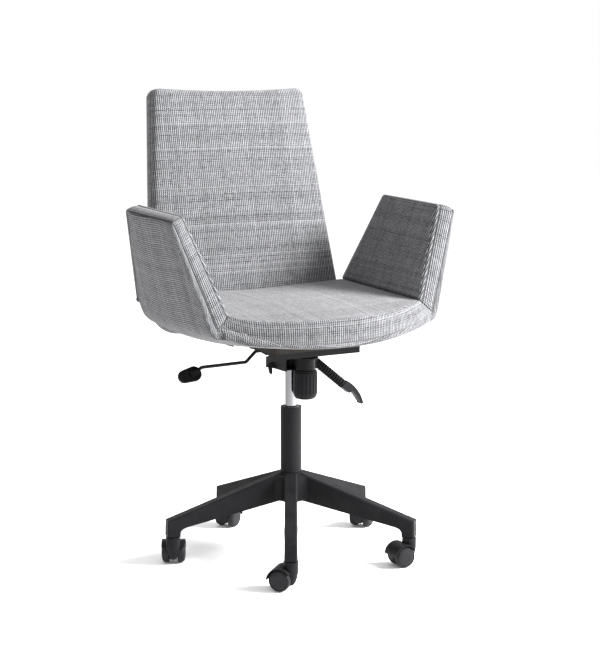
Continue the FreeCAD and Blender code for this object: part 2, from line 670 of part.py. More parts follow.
def arm_boards():
    """Two plywood panels, one inside each arm."""
    right = arm_board()
    return Part.makeCompound([right, mirrored(right)])


def frame_brackets():
    """Four steel straps from the seat board: two up to the back panel, two out to the arms."""
    z0 = PLATE_Z + PLATE_T + BOARD_T
    straps = []
    foot = back_frame_points(0, 20, 22 - BRACKET_T)
    head = back_frame_points(0, 120, 22 - BRACKET_T)
    depth = back_depth_vector(BRACKET_T)
    for x0 in (-85.0, 45.0):
        flat = box(x0, x0 + 40, 70, foot[1] + 3, z0, z0 + BRACKET_T)
        rise = prism([(x0, foot[1], z0), (x0 + 40, foot[1], z0), (x0 + 40, foot[1], foot[2]),
                      (x0, foot[1], foot[2])], vec(0, BRACKET_T, 0))
        lean = prism([(x0, foot[1], foot[2] - 1), (x0 + 40, foot[1], foot[2] - 1),
                      (x0 + 40, head[1], head[2]), (x0, head[1], head[2])], depth)
        straps.append(fused([flat, rise, lean]).cut(back_board()))
    arm_strap = [(60, z0), (137, z0), (262, 556), (274, 604), (310, 712), (306.2, 713.3),
                 (270, 605.2), (258.4, 559.3), (136.4, z0 + BRACKET_T), (60, z0 + BRACKET_T)]
    for side in (-1, 1):
        strap = prism([(x, -22, z) for x, z in arm_strap], vec(0, 40, 0)).cut(arm_board())
        straps.append(strap if side > 0 else mirrored(strap))
    return Part.makeCompound(straps)


# ---- upholstery ----
def hidden_frame():
    """Everything stiff that lies inside the padding."""
    inside = [seat_board(), back_board()]
    inside += arm_boards().Solids + frame_brackets().Solids + seat_bolts().Solids
    return inside


def around_frame(pad):
    for piece in hidden_frame():
        pad = pad.cut(piece)
    return pad


def front_arc(inset):
    """Bowed front edge of the seat, from left to right, set back by inset."""
    half = ARM_OUTER_FRONT_LOW[0] - 0.6 * inset
    y_end = ARM_OUTER_FRONT_LOW[1] + inset
    return Part.Arc(vec(-half, y_end, 0), vec(0, SEAT_FRONT_Y + inset, 0), vec(half, y_end, 0)), half, y_end


def front_border():
    """Front band of the seat, between the two mitred corners."""
    outer, half, y_end = front_arc(0)
    inner, inner_half, inner_y = front_arc(BORDER_DEEP)
    edges = [outer.toShape(), Part.LineSegment(vec(half, y_end, 0), vec(inner_half, inner_y, 0)).toShape(),
             inner.toShape(), Part.LineSegment(vec(-inner_half, inner_y, 0), vec(-half, y_end, 0)).toShape()]
    band = Part.Face(Part.Wire(Part.__sortEdges__(edges)))
    band.translate(vec(0, 0, BORDER_LOW_Z))
    solid = band.extrude(vec(0, 0, BORDER_TOP_Z - BORDER_LOW_Z))
    for arm in (arm_block(), mirrored(arm_block())):
        solid = solid.cut(arm)
    return solid.common(box(-BORDER_END_X, BORDER_END_X, -300, 0, 500, 650))


def cushion_block():
    """Outer shape of the seat pad, behind the front band and between the arms."""
    arc, half, y_end = front_arc(BORDER_DEEP)
    half_rear = ARM_INNER_REAR_LOW[0] - 4
    edges = [arc.toShape(), Part.LineSegment(vec(half, y_end, 0), vec(half_rear, SHELL_REAR_Y, 0)).toShape(),
             Part.LineSegment(vec(half_rear, SHELL_REAR_Y, 0), vec(-half_rear, SHELL_REAR_Y, 0)).toShape(),
             Part.LineSegment(vec(-half_rear, SHELL_REAR_Y, 0), vec(-half, y_end, 0)).toShape()]
    plan = Part.Face(Part.Wire(edges))
    plan.translate(vec(0, 0, SEAT_LOW_Z))
    return plan.extrude(vec(0, 0, SEAT_MID_Z - SEAT_LOW_Z))


def seat_cushion():
    """Seat pad round the inner frame."""
    pad = cushion_block()
    for block in (arm_block(), mirrored(arm_block()), back_block()):
        pad = pad.cut(block)
    return around_frame(pad)


def shell_section(y, depth, half_w, rim_z):
    """Cross-section of the bowl at one y: depth of its middle, half width and height of its rim."""
    low = SEAT_LOW_Z
    inner = ARM_INNER_FRONT_LOW[0] - 4
    side = []
    for share in (0.4, 0.62, 0.8, 0.93):
        x = share * half_w
        side.append((x, depth + (low - 4 - depth) * (share / 0.93) ** 2.2))
    right = side + [(half_w, rim_z), (inner, rim_z + 26), (inner, low)]
    left = [(-x, z) for x, z in reversed(right)]
    return [(x, y, z) for x, z in right + left + [(0, depth)]]


def under_shell():
    """Padded bowl under the seat cushion."""
    stations = [(SHELL_FRONT_Y, 524.0, 284.0, 578.0), (-60.0, 508.0, 292.0, 580.0),
                (60.0, 508.0, 300.0, 584.0), (SHELL_REAR_Y, 520.0, 300.0, 588.0)]
    wires = []
    for station in stations:
        corners = [vec(*p) for p in shell_section(*station)]
        wires.append(Part.makePolygon(corners + [corners[0]]))
    bowl = Part.makeLoft(wires, True, True)
    for block in (arm_block(), mirrored(arm_block()), back_block(), cushion_block()):
        bowl = bowl.cut(block)
    plate_room = box(-PLATE_HALF_W - 1, PLATE_HALF_W + 1, -126, 114, 480, PLATE_Z + PLATE_T)
    barrel_room = box(-15, 15, KNOB_Y - 14, KNOB_Y + 9, PLATE_Z, PLATE_Z + PLATE_T + BOARD_T)
    bowl = bowl.cut(plate_room).cut(barrel_room)
    return around_frame(bowl)


def arm_block():
    near, far = arm_corners(0.0, 1.0, 0.0, 0.0, 0.0, 0.0)
    return brick(near, far)


def right_arm_pad():
    return around_frame(arm_block())


def left_arm_pad():
    return mirrored(right_arm_pad())


def back_block():
    """Leaning back pad: wider at the seat, rounded corners, slightly dipped top edge."""
    r = BACK_CORNER_R
    top = BACK_ABOVE
    w_low = BACK_LOW_HALF_W + 4
    w_top = BACK_TOP_HALF_W
    low = -BACK_BELOW
    lean = (w_low - w_top) / (top - low)

    def at(x, s):
        return vec(*back_frame_points(x, s, 0))

    def side_x(s):
        return w_top + lean * (top - s)

    c = r * (1 - math.sqrt(0.5))
    edges = [Part.LineSegment(at(-w_low, low), at(w_low, low)),
             Part.LineSegment(at(w_low, low), at(side_x(top - r), top - r)),
             Part.Arc(at(side_x(top - r), top - r), at(w_top - c, top - c), at(w_top - r, top)),
             Part.Arc(at(w_top - r, top), at(0, top - BACK_TOP_DIP), at(r - w_top, top)),
             Part.Arc(at(r - w_top, top), at(c - w_top, top - c), at(-side_x(top - r), top - r)),
             Part.LineSegment(at(-side_x(top - r), top - r), at(-w_low, low))]
    face = Part.Face(Part.Wire([e.toShape() for e in edges]))
    block = face.extrude(back_depth_vector(BACK_T))
    heel = back_frame_points(0, low, BACK_T)
    heel_edges = edges_where(block, lambda e: (e.CenterOfMass - vec(*heel)).Length < 1)
    block = block.makeFillet(BACK_HEEL_R, heel_edges)
    foot_r = BACK_FOOT_CORNER_R
    foot_c = foot_r * (1 - math.sqrt(0.5))
    wide = w_low + 10
    for side in (-1, 1):
        corners = [at(side * (w_low - foot_r), low), at(side * wide, low), at(side * wide, low + foot_r),
                   at(side * side_x(low + foot_r), low + foot_r)]
        rounding = Part.Arc(corners[3], at(side * (w_low - foot_c), low + foot_c), corners[0])
        outline = [Part.LineSegment(a, b).toShape() for a, b in zip(corners, corners[1:])]
        face = Part.Face(Part.Wire(outline + [rounding.toShape()]))
        waste = face.extrude(back_depth_vector(BACK_T + 20))
        waste.translate(back_depth_vector(-10))
        block = block.cut(waste)
    return block


def back_pad():
    """Back pad round its inner board."""
    pad = back_block()
    for arm in (arm_block(), mirrored(arm_block())):
        pad = pad.cut(arm)
    return around_frame(pad)


# ---- casters, built with the stem on the Z axis and the trail along +X, then placed ----
def caster_hood():
    """Moulded hood: a barrel narrowing to a tongue between the wheels, and a cover over them."""
    t = CASTER_TRAIL
    inner_r = HOOD_R - HOOD_WALL
    w = HOOD_HALF_W
    cover = pin_y(HOOD_R, -w, w, t, WHEEL_R)
    cover = cover.cut(pin_y(inner_r, -w - 1, w + 1, t, WHEEL_R))
    lower = prism([(t - 60, -w - 1, -20), (t + 60, -w - 1, -20), (t + 60, -w - 1, WHEEL_R + 2),
                   (t, -w - 1, WHEEL_R + 2), (t - 60, -w - 1, WHEEL_R + 37)], vec(0, 2 * w + 2, 0))
    cover = cover.cut(lower)
    web_half = WHEEL_GAP / 2 - 1
    web = pin_y(inner_r + 0.5, -web_half, web_half, t, WHEEL_R)
    below = prism([(t - 60, -w, -20), (t + 60, -w, -20), (t + 60, -w, WHEEL_R - 8), (t - 60, -w, 10)],
                  vec(0, 2 * w, 0))
    neck_top = POST_BOTTOM_Z - 2.5
    barrel = turned([(0, 12), (6, 12), (10, 17), (14, 28), (CASTER_NECK_R, 42),
                     (CASTER_NECK_R, neck_top), (0, neck_top)])
    for side in (-w, web_half):
        barrel = barrel.cut(pin_y(inner_r, side, side + w - web_half, t, WHEEL_R))
    hood = fused([cover, web.cut(below), barrel])
    hood = hood.cut(pin_y(AXLE_R, -40, 40, t, WHEEL_R))
    return hood.cut(post(STEM_R, 40, 90))


def caster_stem():
    """Steel stem with a collar under the post and a grip ring near its top."""
    return turned([(0, 42), (STEM_R, 42), (STEM_R, POST_BOTTOM_Z - 2.5), (9, POST_BOTTOM_Z - 2.5),
                   (9, POST_BOTTOM_Z - 0.3), (STEM_R, POST_BOTTOM_Z - 0.3), (STEM_R, STEM_TOP_Z - 12),
                   (STEM_R - 0.8, STEM_TOP_Z - 11), (STEM_R - 0.8, STEM_TOP_Z - 7),
                   (STEM_R, STEM_TOP_Z - 6), (STEM_R, STEM_TOP_Z - 2), (STEM_R - 2, STEM_TOP_Z),
                   (0, STEM_TOP_Z)])


def caster_axle():
    reach = WHEEL_GAP / 2 + WHEEL_W - 4
    return pin_y(AXLE_R, -reach, reach, CASTER_TRAIL, WHEEL_R)


def caster_wheel(side):
    """One wheel: a round-edged tread and a domed outer face with a groove near its edge."""
    face = WHEEL_W
    outline = [(AXLE_R + RUN, 0), (WHEEL_R - 2, 0), (WHEEL_R, 2), (WHEEL_R, face - 11),
               (WHEEL_R - 0.8, face - 6.5), (WHEEL_R - 2.6, face - 3.4), (WHEEL_R - 4.2, face - 2.5),
               (WHEEL_R - 4.7, face - 3.3), (WHEEL_R - 5.3, face - 2.1), (WHEEL_R - 12, face - 0.6),
               (0, face), (0, face - 3.5), (AXLE_R + RUN, face - 3.5)]
    wheel = turned(outline)
    wheel.rotate(vec(0, 0, 0), vec(1, 0, 0), -90)
    wheel.translate(vec(CASTER_TRAIL, WHEEL_GAP / 2, WHEEL_R))
    return wheel if side > 0 else wheel.mirror(vec(0, 0, 0), vec(0, 1, 0))


def placed_caster(shape, k):
    shape.rotate(vec(0, 0, 0), vec(0, 0, 1), CASTER_TRAIL_DEG[k])
    x, y = arm_point(k, CASTER_CIRCLE_R)
    shape.translate(vec(x, y, 0))
    return shape


# ---- all nodes ----
def nodes():
    table = {
        "base_star": base_star(), "column_tube": column_tube(), "guide_bush": guide_bush(),
        "piston_rod": piston_rod(), "thrust_bearing": thrust_bearing(),
        "retaining_clip": retaining_clip(), "gas_cylinder": gas_cylinder(), "rod_guide": rod_guide(),
        "release_button": release_button(), "taper_socket": taper_socket(),
        "mechanism_housing": mechanism_housing(), "spring_cup": spring_cup(),
        "tilt_pivot_pin": tilt_pivot_pin(), "rear_lug": rear_lug(), "tension_bolt": tension_bolt(),
        "tension_spring": tension_spring(), "tension_knob": tension_knob(),
        "gas_lever_rod": gas_lever_rod(), "gas_lever_paddle": gas_lever_paddle(),
        "lock_lever_rod": lock_lever_rod(), "lock_lever_sleeve": lock_lever_sleeve(),
        "lock_lever_handle": lock_lever_handle(), "seat_plate": seat_plate(),
        "pivot_bushes": pivot_bushes(), "seat_bolts": seat_bolts(), "seat_board": seat_board(),
        "back_board": back_board(), "arm_boards": arm_boards(), "frame_brackets": frame_brackets(),
        "under_shell": under_shell(), "seat_cushion": seat_cushion(), "front_border": front_border(),
        "left_arm_pad": left_arm_pad(), "right_arm_pad": right_arm_pad(), "back_pad": back_pad(),
    }
    for k in range(ARM_COUNT):
        name = "caster_%d_" % (k + 1)
        table[name + "hood"] = placed_caster(caster_hood(), k)
        table[name + "stem"] = placed_caster(caster_stem(), k)
        table[name + "axle"] = placed_caster(caster_axle(), k)
        table[name + "wheel_a"] = placed_caster(caster_wheel(1), k)
        table[name + "wheel_b"] = placed_caster(caster_wheel(-1), k)
    return table


os.makedirs("parts", exist_ok=True)
for node, shape in nodes().items():
    shape.exportStep("parts/%s.step" % node)
    print(node, "solids", len(shape.Solids), "valid", shape.isValid(), "volume", round(shape.Volume))
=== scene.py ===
import math

import bpy
import numpy as np
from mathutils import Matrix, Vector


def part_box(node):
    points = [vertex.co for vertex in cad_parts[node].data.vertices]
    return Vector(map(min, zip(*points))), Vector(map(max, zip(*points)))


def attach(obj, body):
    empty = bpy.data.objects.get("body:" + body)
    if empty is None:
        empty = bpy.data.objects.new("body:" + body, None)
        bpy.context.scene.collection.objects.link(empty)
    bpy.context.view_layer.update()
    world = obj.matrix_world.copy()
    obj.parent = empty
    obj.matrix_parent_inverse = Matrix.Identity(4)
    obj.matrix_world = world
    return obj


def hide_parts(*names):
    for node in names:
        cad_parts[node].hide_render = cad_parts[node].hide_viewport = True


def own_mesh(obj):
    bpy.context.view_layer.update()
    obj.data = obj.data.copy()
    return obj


# Swivel office chair. Metres, in the frame's axes: +Z up, the front of the seat faces -Y.
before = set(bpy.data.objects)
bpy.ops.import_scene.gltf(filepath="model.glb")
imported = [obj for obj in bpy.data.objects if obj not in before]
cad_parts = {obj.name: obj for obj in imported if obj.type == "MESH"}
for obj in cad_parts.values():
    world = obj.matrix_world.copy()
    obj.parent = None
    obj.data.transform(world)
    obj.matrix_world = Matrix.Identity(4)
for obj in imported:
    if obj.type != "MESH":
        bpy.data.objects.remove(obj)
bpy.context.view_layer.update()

MM = 0.001

# ---- upholstery, in metres ----
SEAM_R = 1.6 * MM
SEAM_DEEP = 5 * MM
PAD_DEEP = 26 * MM
BACK_ROUND = 11 * MM
BACK_SEAM_BEHIND = 15 * MM
BACK_CORNER_R = 21 * MM
BACK_FOOT_R = 70 * MM
BACK_TOP_DIP = 6 * MM
BACK_CROWN = 7 * MM
ARM_ROUND = 5 * MM
ARM_CORNER_R = 12 * MM
ARM_TOP_LIFT = 4 * MM
ARM_REAR_OUT = 3 * MM
ARM_CROWN = 4 * MM
SEAT_CROWN = 13 * MM
SEAT_ROUND = 9 * MM
SEAT_DEEP = 34 * MM
BORDER_CROWN = 3 * MM
BORDER_HIGH = 55 * MM
SHELL_LIP_R = 6 * MM
SHELL_REAR_R = 14 * MM
SHELL_BULGE = 17 * MM

# ---- tweed, in metres ----
YARN = 2.5 * MM
PANEL_SHIFT = 0.37
EVEN_START = 20000.0
SLUB_WEFT = 4.0
SLUB_WARP = 3.0
THIN_WEFT = 0.62
BRIGHT_SHARE = 0.07
PLAID_WARPS = 5.0
PLAID_WEFTS = 4.0
TWEED_BLACK = (0.003, 0.003, 0.0035)
TWEED_COAL = (0.006, 0.0065, 0.0075)
TWEED_GREY = (0.075, 0.076, 0.080)
TWEED_PALE = (0.165, 0.166, 0.174)
TWEED_WHITE = (0.30, 0.301, 0.313)

# ---- light ----
KEY_POWER = 540
KEY_DISTANCE = 3.6
KEY_SIZE = 1.3
KEY_AZIMUTH_DEG = 54
KEY_ELEVATION_DEG = 31
SKY = 1.0
LEFT_DIM = 0.2
OVERHEAD = 1.35

# ---- camera ----
CAMERA_FROM_AXIS = 3.847
CAMERA_HEIGHT = 1.114
CAMERA_AZIMUTH_DEG = 30.97
CAMERA_DOWN_DEG = 8.32
LENS_MM = 92.7
SHIFT_X = 0.0139


# ---- reading the frame ----
def vertices(node):
    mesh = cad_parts[node].data
    flat = np.empty(3 * len(mesh.vertices), np.float32)
    mesh.vertices.foreach_get("co", flat)
    return flat.reshape(-1, 3).astype(float)


def extreme(node, *direction):
    """The vertex of a CAD node that lies furthest in a direction."""
    points = vertices(node)
    return points[np.argmax(points @ np.array(direction, float))]


# ---- small geometry helpers ----
def vec(*values):
    return np.array(values, float)


def unit(v):
    return v / np.linalg.norm(v, axis=-1, keepdims=True)


def mix(a, b, t):
    return a + (b - a) * t


def flip_x(points):
    return points * vec(-1, 1, 1)


def smooth(knots, t):
    """Points on a smooth curve through evenly numbered knots, at t from 0 to 1."""
    knots = np.asarray(knots, float)
    spans = len(knots) - 1
    x = np.clip(t, 0, 1) * spans
    i = np.minimum(x.astype(int), spans - 1)
    f = (x - i)[..., None]
    ends = np.concatenate([[2 * knots[0] - knots[1]], knots, [2 * knots[-1] - knots[-2]]])
    p0, p1, p2, p3 = [ends[i + k] for k in range(4)]
    return 0.5 * (2 * p1 + (p2 - p0) * f + (2 * p0 - 5 * p1 + 4 * p2 - p3) * f ** 2
                  + (3 * p1 - p0 - 3 * p2 + p3) * f ** 3)


def edge_profile(r, bend_deg):
    """(inset, drop) pairs of a pad's edge: a round of radius r through bend_deg, then a seam tuck."""
    bend = math.radians(bend_deg)
    stop = bend - (math.asin(SEAM_R / (r - SEAM_R)) if bend_deg else 0)
    reach = r * math.tan(bend) if bend_deg else SEAM_R
    pairs = []
    steps = 5 if bend_deg else 0
    for k in range(steps):
        a = stop * k / steps
        pairs.append((reach - r * math.sin(a), r - r * math.cos(a)))
    x = reach - r * math.sin(stop)
    y = r - r * math.cos(stop)
    centre_x = x + SEAM_R * math.sin(stop)
    centre_y = y + SEAM_R * math.cos(stop)
    for k in range(5):
        a = stop + math.radians(90) * k / 4
        pairs.append((centre_x - SEAM_R * math.sin(a), centre_y - SEAM_R * math.cos(a)))
    x, y = pairs[-1]
    pairs.append((x + SEAM_DEEP * math.sin(stop), y + SEAM_DEEP * math.cos(stop)))
    return pairs


def rolled_edge(r):
    """(inset, drop, highest) rows of an edge: a quarter round, a run down and a tuck into its seam.

    highest caps the row's height over the surface, so that the seam stays on the surface."""
    rows = []
    for k in range(7):
        a = math.radians(15 * k)
        rows.append((r - r * math.sin(a), r - r * math.cos(a)))
    return rows + [(0.0, 0.0, 2.2 * MM), (0.5 * MM, 0.0, 0.9 * MM), (1.6 * MM, 0.0, -0.2 * MM),
                   (3 * MM, 0.0, -2.5 * MM)]


def lengths(points, axis):
    """Running length along one direction of a grid of points."""
    steps = np.linalg.norm(np.diff(points, axis=axis), axis=-1)
    start = np.zeros_like(np.take(steps, [0], axis=axis))
    return np.concatenate([start, np.cumsum(steps, axis=axis)], axis=axis)


def spread(low, high, count, length):
    """Parameters, drops and height caps across lines of these lengths, with an even run between edges."""
    length = np.asarray(length)[None, :]
    low = np.array([(*row, np.inf)[:3] for row in low[::-1]])
    high = np.array([(*row, np.inf)[:3] for row in high])
    a = low[:, :1] / length
    b = 1 - high[:, :1] / length
    share = np.linspace(0, 1, count + 2)[1:-1, None]
    values = np.concatenate([a, mix(a[-1:], b[:1], share), b])
    drops = np.concatenate([low[:, 1], np.zeros(count), high[:, 1]])
    caps = np.concatenate([low[:, 2], np.full(count, np.inf), high[:, 2]])
    return values, drops, caps


def coons(bottom, right, top, left):
    """Grid over four sides: bottom and top run along u, left and right along v, all from low to high."""
    u = lengths(bottom, 0) / lengths(bottom, 0)[-1]
    v = lengths(left, 0) / lengths(left, 0)[-1]
    u = u[:, None, None]
    v = v[None, :, None]
    across = mix(left[None, :], right[None, :], u)
    along = mix(bottom[:, None], top[:, None], v)
    low = mix(bottom[0], bottom[-1], u)
    high = mix(top[0], top[-1], u)
    return across + along - mix(low, high, v)


def grid_normals(grid, towards):
    normal = unit(np.cross(np.gradient(grid, axis=0), np.gradient(grid, axis=1)))
    return normal if (normal.reshape(-1, 3).mean(0) @ towards) > 0 else -normal


# ---- cloth: how far a pressed cover rises off its pad ----
CLOTH_GRID = 25
CLOTH_FRAMES = 20


def cushion_cover(surface):
    """A closed pad over a surface, pinned everywhere but on its face, ready to be blown up."""
    at = np.linspace(0, 1, CLOTH_GRID)
    u, v = np.meshgrid(at, at, indexing="ij")
    top = surface(u, v)
    normal = unit(np.cross(np.gradient(top, axis=0), np.gradient(top, axis=1)))
    points = np.concatenate([top, top - normal * PAD_DEEP]).reshape(-1, 3)
    n = CLOTH_GRID
    layer = n * n
    faces = []
    for i in range(n - 1):
        for j in range(n - 1):
            quad = [i * n + j, (i + 1) * n + j, (i + 1) * n + j + 1, i * n + j + 1]
            faces.append(quad)
            faces.append([layer + k for k in reversed(quad)])
    rim = [(i, 0) for i in range(n)] + [(n - 1, j) for j in range(1, n)]
    rim += [(i, n - 1) for i in range(n - 2, -1, -1)] + [(0, j) for j in range(n - 2, 0, -1)]
    rim = [i * n + j for i, j in rim]
    for a, b in zip(rim, rim[1:] + rim[:1]):
        faces.append([b, a, layer + a, layer + b])
    mesh = bpy.data.meshes.new("cover")
    mesh.from_pydata(points.tolist(), [], faces)
    cover = bpy.data.objects.new("cover", mesh)
    bpy.context.scene.collection.objects.link(cover)
    held = cover.vertex_groups.new(name="held")
    held.add(rim + list(range(layer, 2 * layer)), 1.0, "REPLACE")
    cloth = cover.modifiers.new("Cloth", "CLOTH")
    cloth.settings.quality = 6
    cloth.settings.mass = 0.3
    cloth.settings.tension_stiffness = 12
    cloth.settings.compression_stiffness = 12
    cloth.settings.bending_stiffness = 2
    cloth.settings.use_pressure = True
    cloth.settings.uniform_pressure_force = 4
    cloth.settings.vertex_group_mass = "held"
    cloth.settings.effector_weights.gravity = 0
    cloth.point_cache.frame_start = 1
    cloth.point_cache.frame_end = CLOTH_FRAMES
    return cover, top, normal


def blown(covers):
    """Runs all the covers together and returns a grid of heights for each."""
    scene = bpy.context.scene
    for step in range(1, CLOTH_FRAMES + 1):
        scene.frame_set(step)
    heights = []
    for cover, top, normal in covers:
        shaped = cover.evaluated_get(bpy.context.evaluated_depsgraph_get()).data
        flat = np.empty(3 * len(shaped.vertices), np.float32)
        shaped.vertices.foreach_get("co", flat)
        moved = flat.reshape(-1, 3)[:CLOTH_GRID ** 2].reshape(top.shape)
        heights.append(((moved - top) * normal).sum(-1))
    scene.frame_set(1)
    for cover, _, _ in covers:
        bpy.data.objects.remove(cover)
    return heights


def drawn(at_u, at_v):
    return (16 * at_u * (1 - at_u) * at_v * (1 - at_v)) ** 0.6


def relief(heights, cap):
    """Function of u, v that gives a smooth rise of at most cap."""
    if heights is None:
        return lambda u, v: cap * drawn(np.clip(u, 0, 1), np.clip(v, 0, 1))
    top = np.percentile(heights, 98)
    heights = np.clip(heights / top, 0, 1) * cap

    def rise(u, v):
        n = CLOTH_GRID - 1
        x = np.clip(u, 0, 1) * n
        y = np.clip(v, 0, 1) * n
        i = np.minimum(x.astype(int), n - 1)
        j = np.minimum(y.astype(int), n - 1)
        fx = x - i
        fy = y - j
        low = mix(heights[i, j], heights[i + 1, j], fx)
        high = mix(heights[i, j + 1], heights[i + 1, j + 1], fx)
        return mix(low, high, fy)

    return rise


# ---- pads ----
def new_piece(name, points, faces, weave, mirrored=False):
    """A fabric mesh with its weave coordinates, in metres along the yarns of its panel."""
    if mirrored:
        points = flip_x(points)
        faces = [list(reversed(f)) for f in faces]
    mesh = bpy.data.meshes.new(name)
    mesh.from_pydata(points.tolist(), [], faces)
    mesh.validate()
    layer = mesh.attributes.new("weave", "FLOAT_VECTOR", "POINT")
    layer.data.foreach_set("vector", weave.astype(np.float32).ravel())
    mesh.shade_smooth()
    piece = bpy.data.objects.new(name, mesh)
    bpy.context.scene.collection.objects.link(piece)
    piece.data.materials.append(tweed)
    return piece


def grid_faces(index):
    faces = []
    for i in range(index.shape[0] - 1):
        for j in range(index.shape[1] - 1):
            faces.append([index[i, j], index[i + 1, j], index[i + 1, j + 1], index[i, j + 1]])
    return faces


def perimeter(index):
    """Index numbers once round the rim of a grid."""
    return np.concatenate([index[:-1, 0], index[-1, :-1], index[:0:-1, -1], index[0, :0:-1]])


def skin(name, surface, outward, edges, counts, rise, deep, panel, mirrored=False):
    """A pad over one surface: tucked edges, a rise in its middle and a closed back.

    edges are the profiles at u=0, u=1, v=0 and v=1."""
    rows = len(edges[0]) + counts[0] + len(edges[1])
    columns = len(edges[2]) + counts[1] + len(edges[3])
    row_at = np.linspace(0, 1, rows)
    column_at = np.linspace(0, 1, columns)
    fine = np.linspace(0, 1, 24)
    along_u = lengths(surface(*np.meshgrid(fine, column_at, indexing="ij")), 0)[-1]
    along_v = lengths(surface(*np.meshgrid(row_at, fine, indexing="ij")), 1)[:, -1]
    u, drop_u, cap_u = spread(edges[0], edges[1], counts[0], along_u)
    v, drop_v, cap_v = spread(edges[2], edges[3], counts[1], along_v)
    v = v.T
    step = 1e-3
    tangent_u = surface(u + step, v) - surface(u - step, v)
    tangent_v = surface(u, v + step) - surface(u, v - step)
    normal = unit(np.cross(tangent_u, tangent_v))
    if (normal * outward).sum(-1).mean() < 0:
        normal = -normal
    base = surface(u, v)
    height = rise(u, v) - drop_u[:, None] - drop_v[None, :]
    height = np.minimum(height, np.minimum(cap_u[:, None], cap_v[None, :]))
    face = base + normal * height[..., None]
    index = np.arange(rows * columns).reshape(rows, columns)
    rim = perimeter(index)
    floor = face.reshape(-1, 3)[rim] - normal.reshape(-1, 3)[rim] * deep
    points = np.concatenate([face.reshape(-1, 3), floor])
    count = rows * columns
    faces = grid_faces(index)
    below = np.full(count, -1)
    below[rim] = count + np.arange(len(rim))
    for a, b in zip(rim, np.roll(rim, -1)):
        faces.append([b, a, below[a], below[b]])
    for j in range(columns - 1):
        ends = [index[0, j], index[0, j + 1], index[-1, j + 1], index[-1, j]]
        faces.append([below[k] for k in ends])
    faces.append([below[k] for k in index[:, 0]])
    faces.append([below[k] for k in index[::-1, -1]])
    weave = np.zeros((len(points), 3))
    run_u = lengths(face, 0)
    run_v = lengths(face, 1)
    half_u = run_u[rows // 2][None, :]
    half_v = run_v[:, columns // 2][:, None]
    weave[:count, 0] = (run_v - half_v).ravel()
    weave[:count, 1] = (run_u - half_u).ravel()
    i, j = rim // columns, rim % columns
    away_v = np.where(j == 0, -1.0, 0.0) + np.where(j == columns - 1, 1.0, 0.0)
    away_u = np.where(i == 0, -1.0, 0.0) + np.where(i == rows - 1, 1.0, 0.0)
    weave[count:, 0] = weave[rim, 0] + away_v * deep
    weave[count:, 1] = weave[rim, 1] + away_u * deep
    weave[:, 0] += PANEL_SHIFT * panel
    weave[:, 1] += 2 * PANEL_SHIFT * panel
    return new_piece(name, points, faces, weave, mirrored)


def rounded_sides(corners, radii, counts, arc=5):
    """Four sides of a loop, each from the middle of one rounded corner to the middle of the next."""
    arcs = []
    for i in range(4):
        before, here, after = corners[i - 1], corners[i], corners[(i + 1) % 4]
        u = unit(before - here)
        v = unit(after - here)
        half = math.acos(u @ v) / 2
        reach = radii[i] / math.tan(half)
        t = np.linspace(0, 1, 2 * arc + 1)[:, None]
        weight = math.sin(half)
        shares = (1 - t) ** 2, 2 * weight * t * (1 - t), t ** 2
        total = shares[0] * (here + u * reach) + shares[1] * here + shares[2] * (here + v * reach)
        arcs.append(total / sum(shares))
    sides = []
    for i in range(4):
        start = arcs[i][arc:]
        end = arcs[(i + 1) % 4][:arc + 1]
        run = np.linspace(start[-1], end[0], counts[i % 2] + 2)[1:-1]
        sides.append(np.concatenate([start, run, end]))
    return sides


def loop_of(sides):
    return np.concatenate([side[:-1] for side in sides])


def sides_of(loop, counts):
    """Splits a loop back into bottom, right, top and left sides that run from low to high."""
    closed = np.concatenate([loop, loop[:1]])
    cuts = np.cumsum([0] + list(counts))
    bottom, right, top, left = [closed[a:b + 1] for a, b in zip(cuts, cuts[1:])]
    return bottom, right, top[::-1], left[::-1]


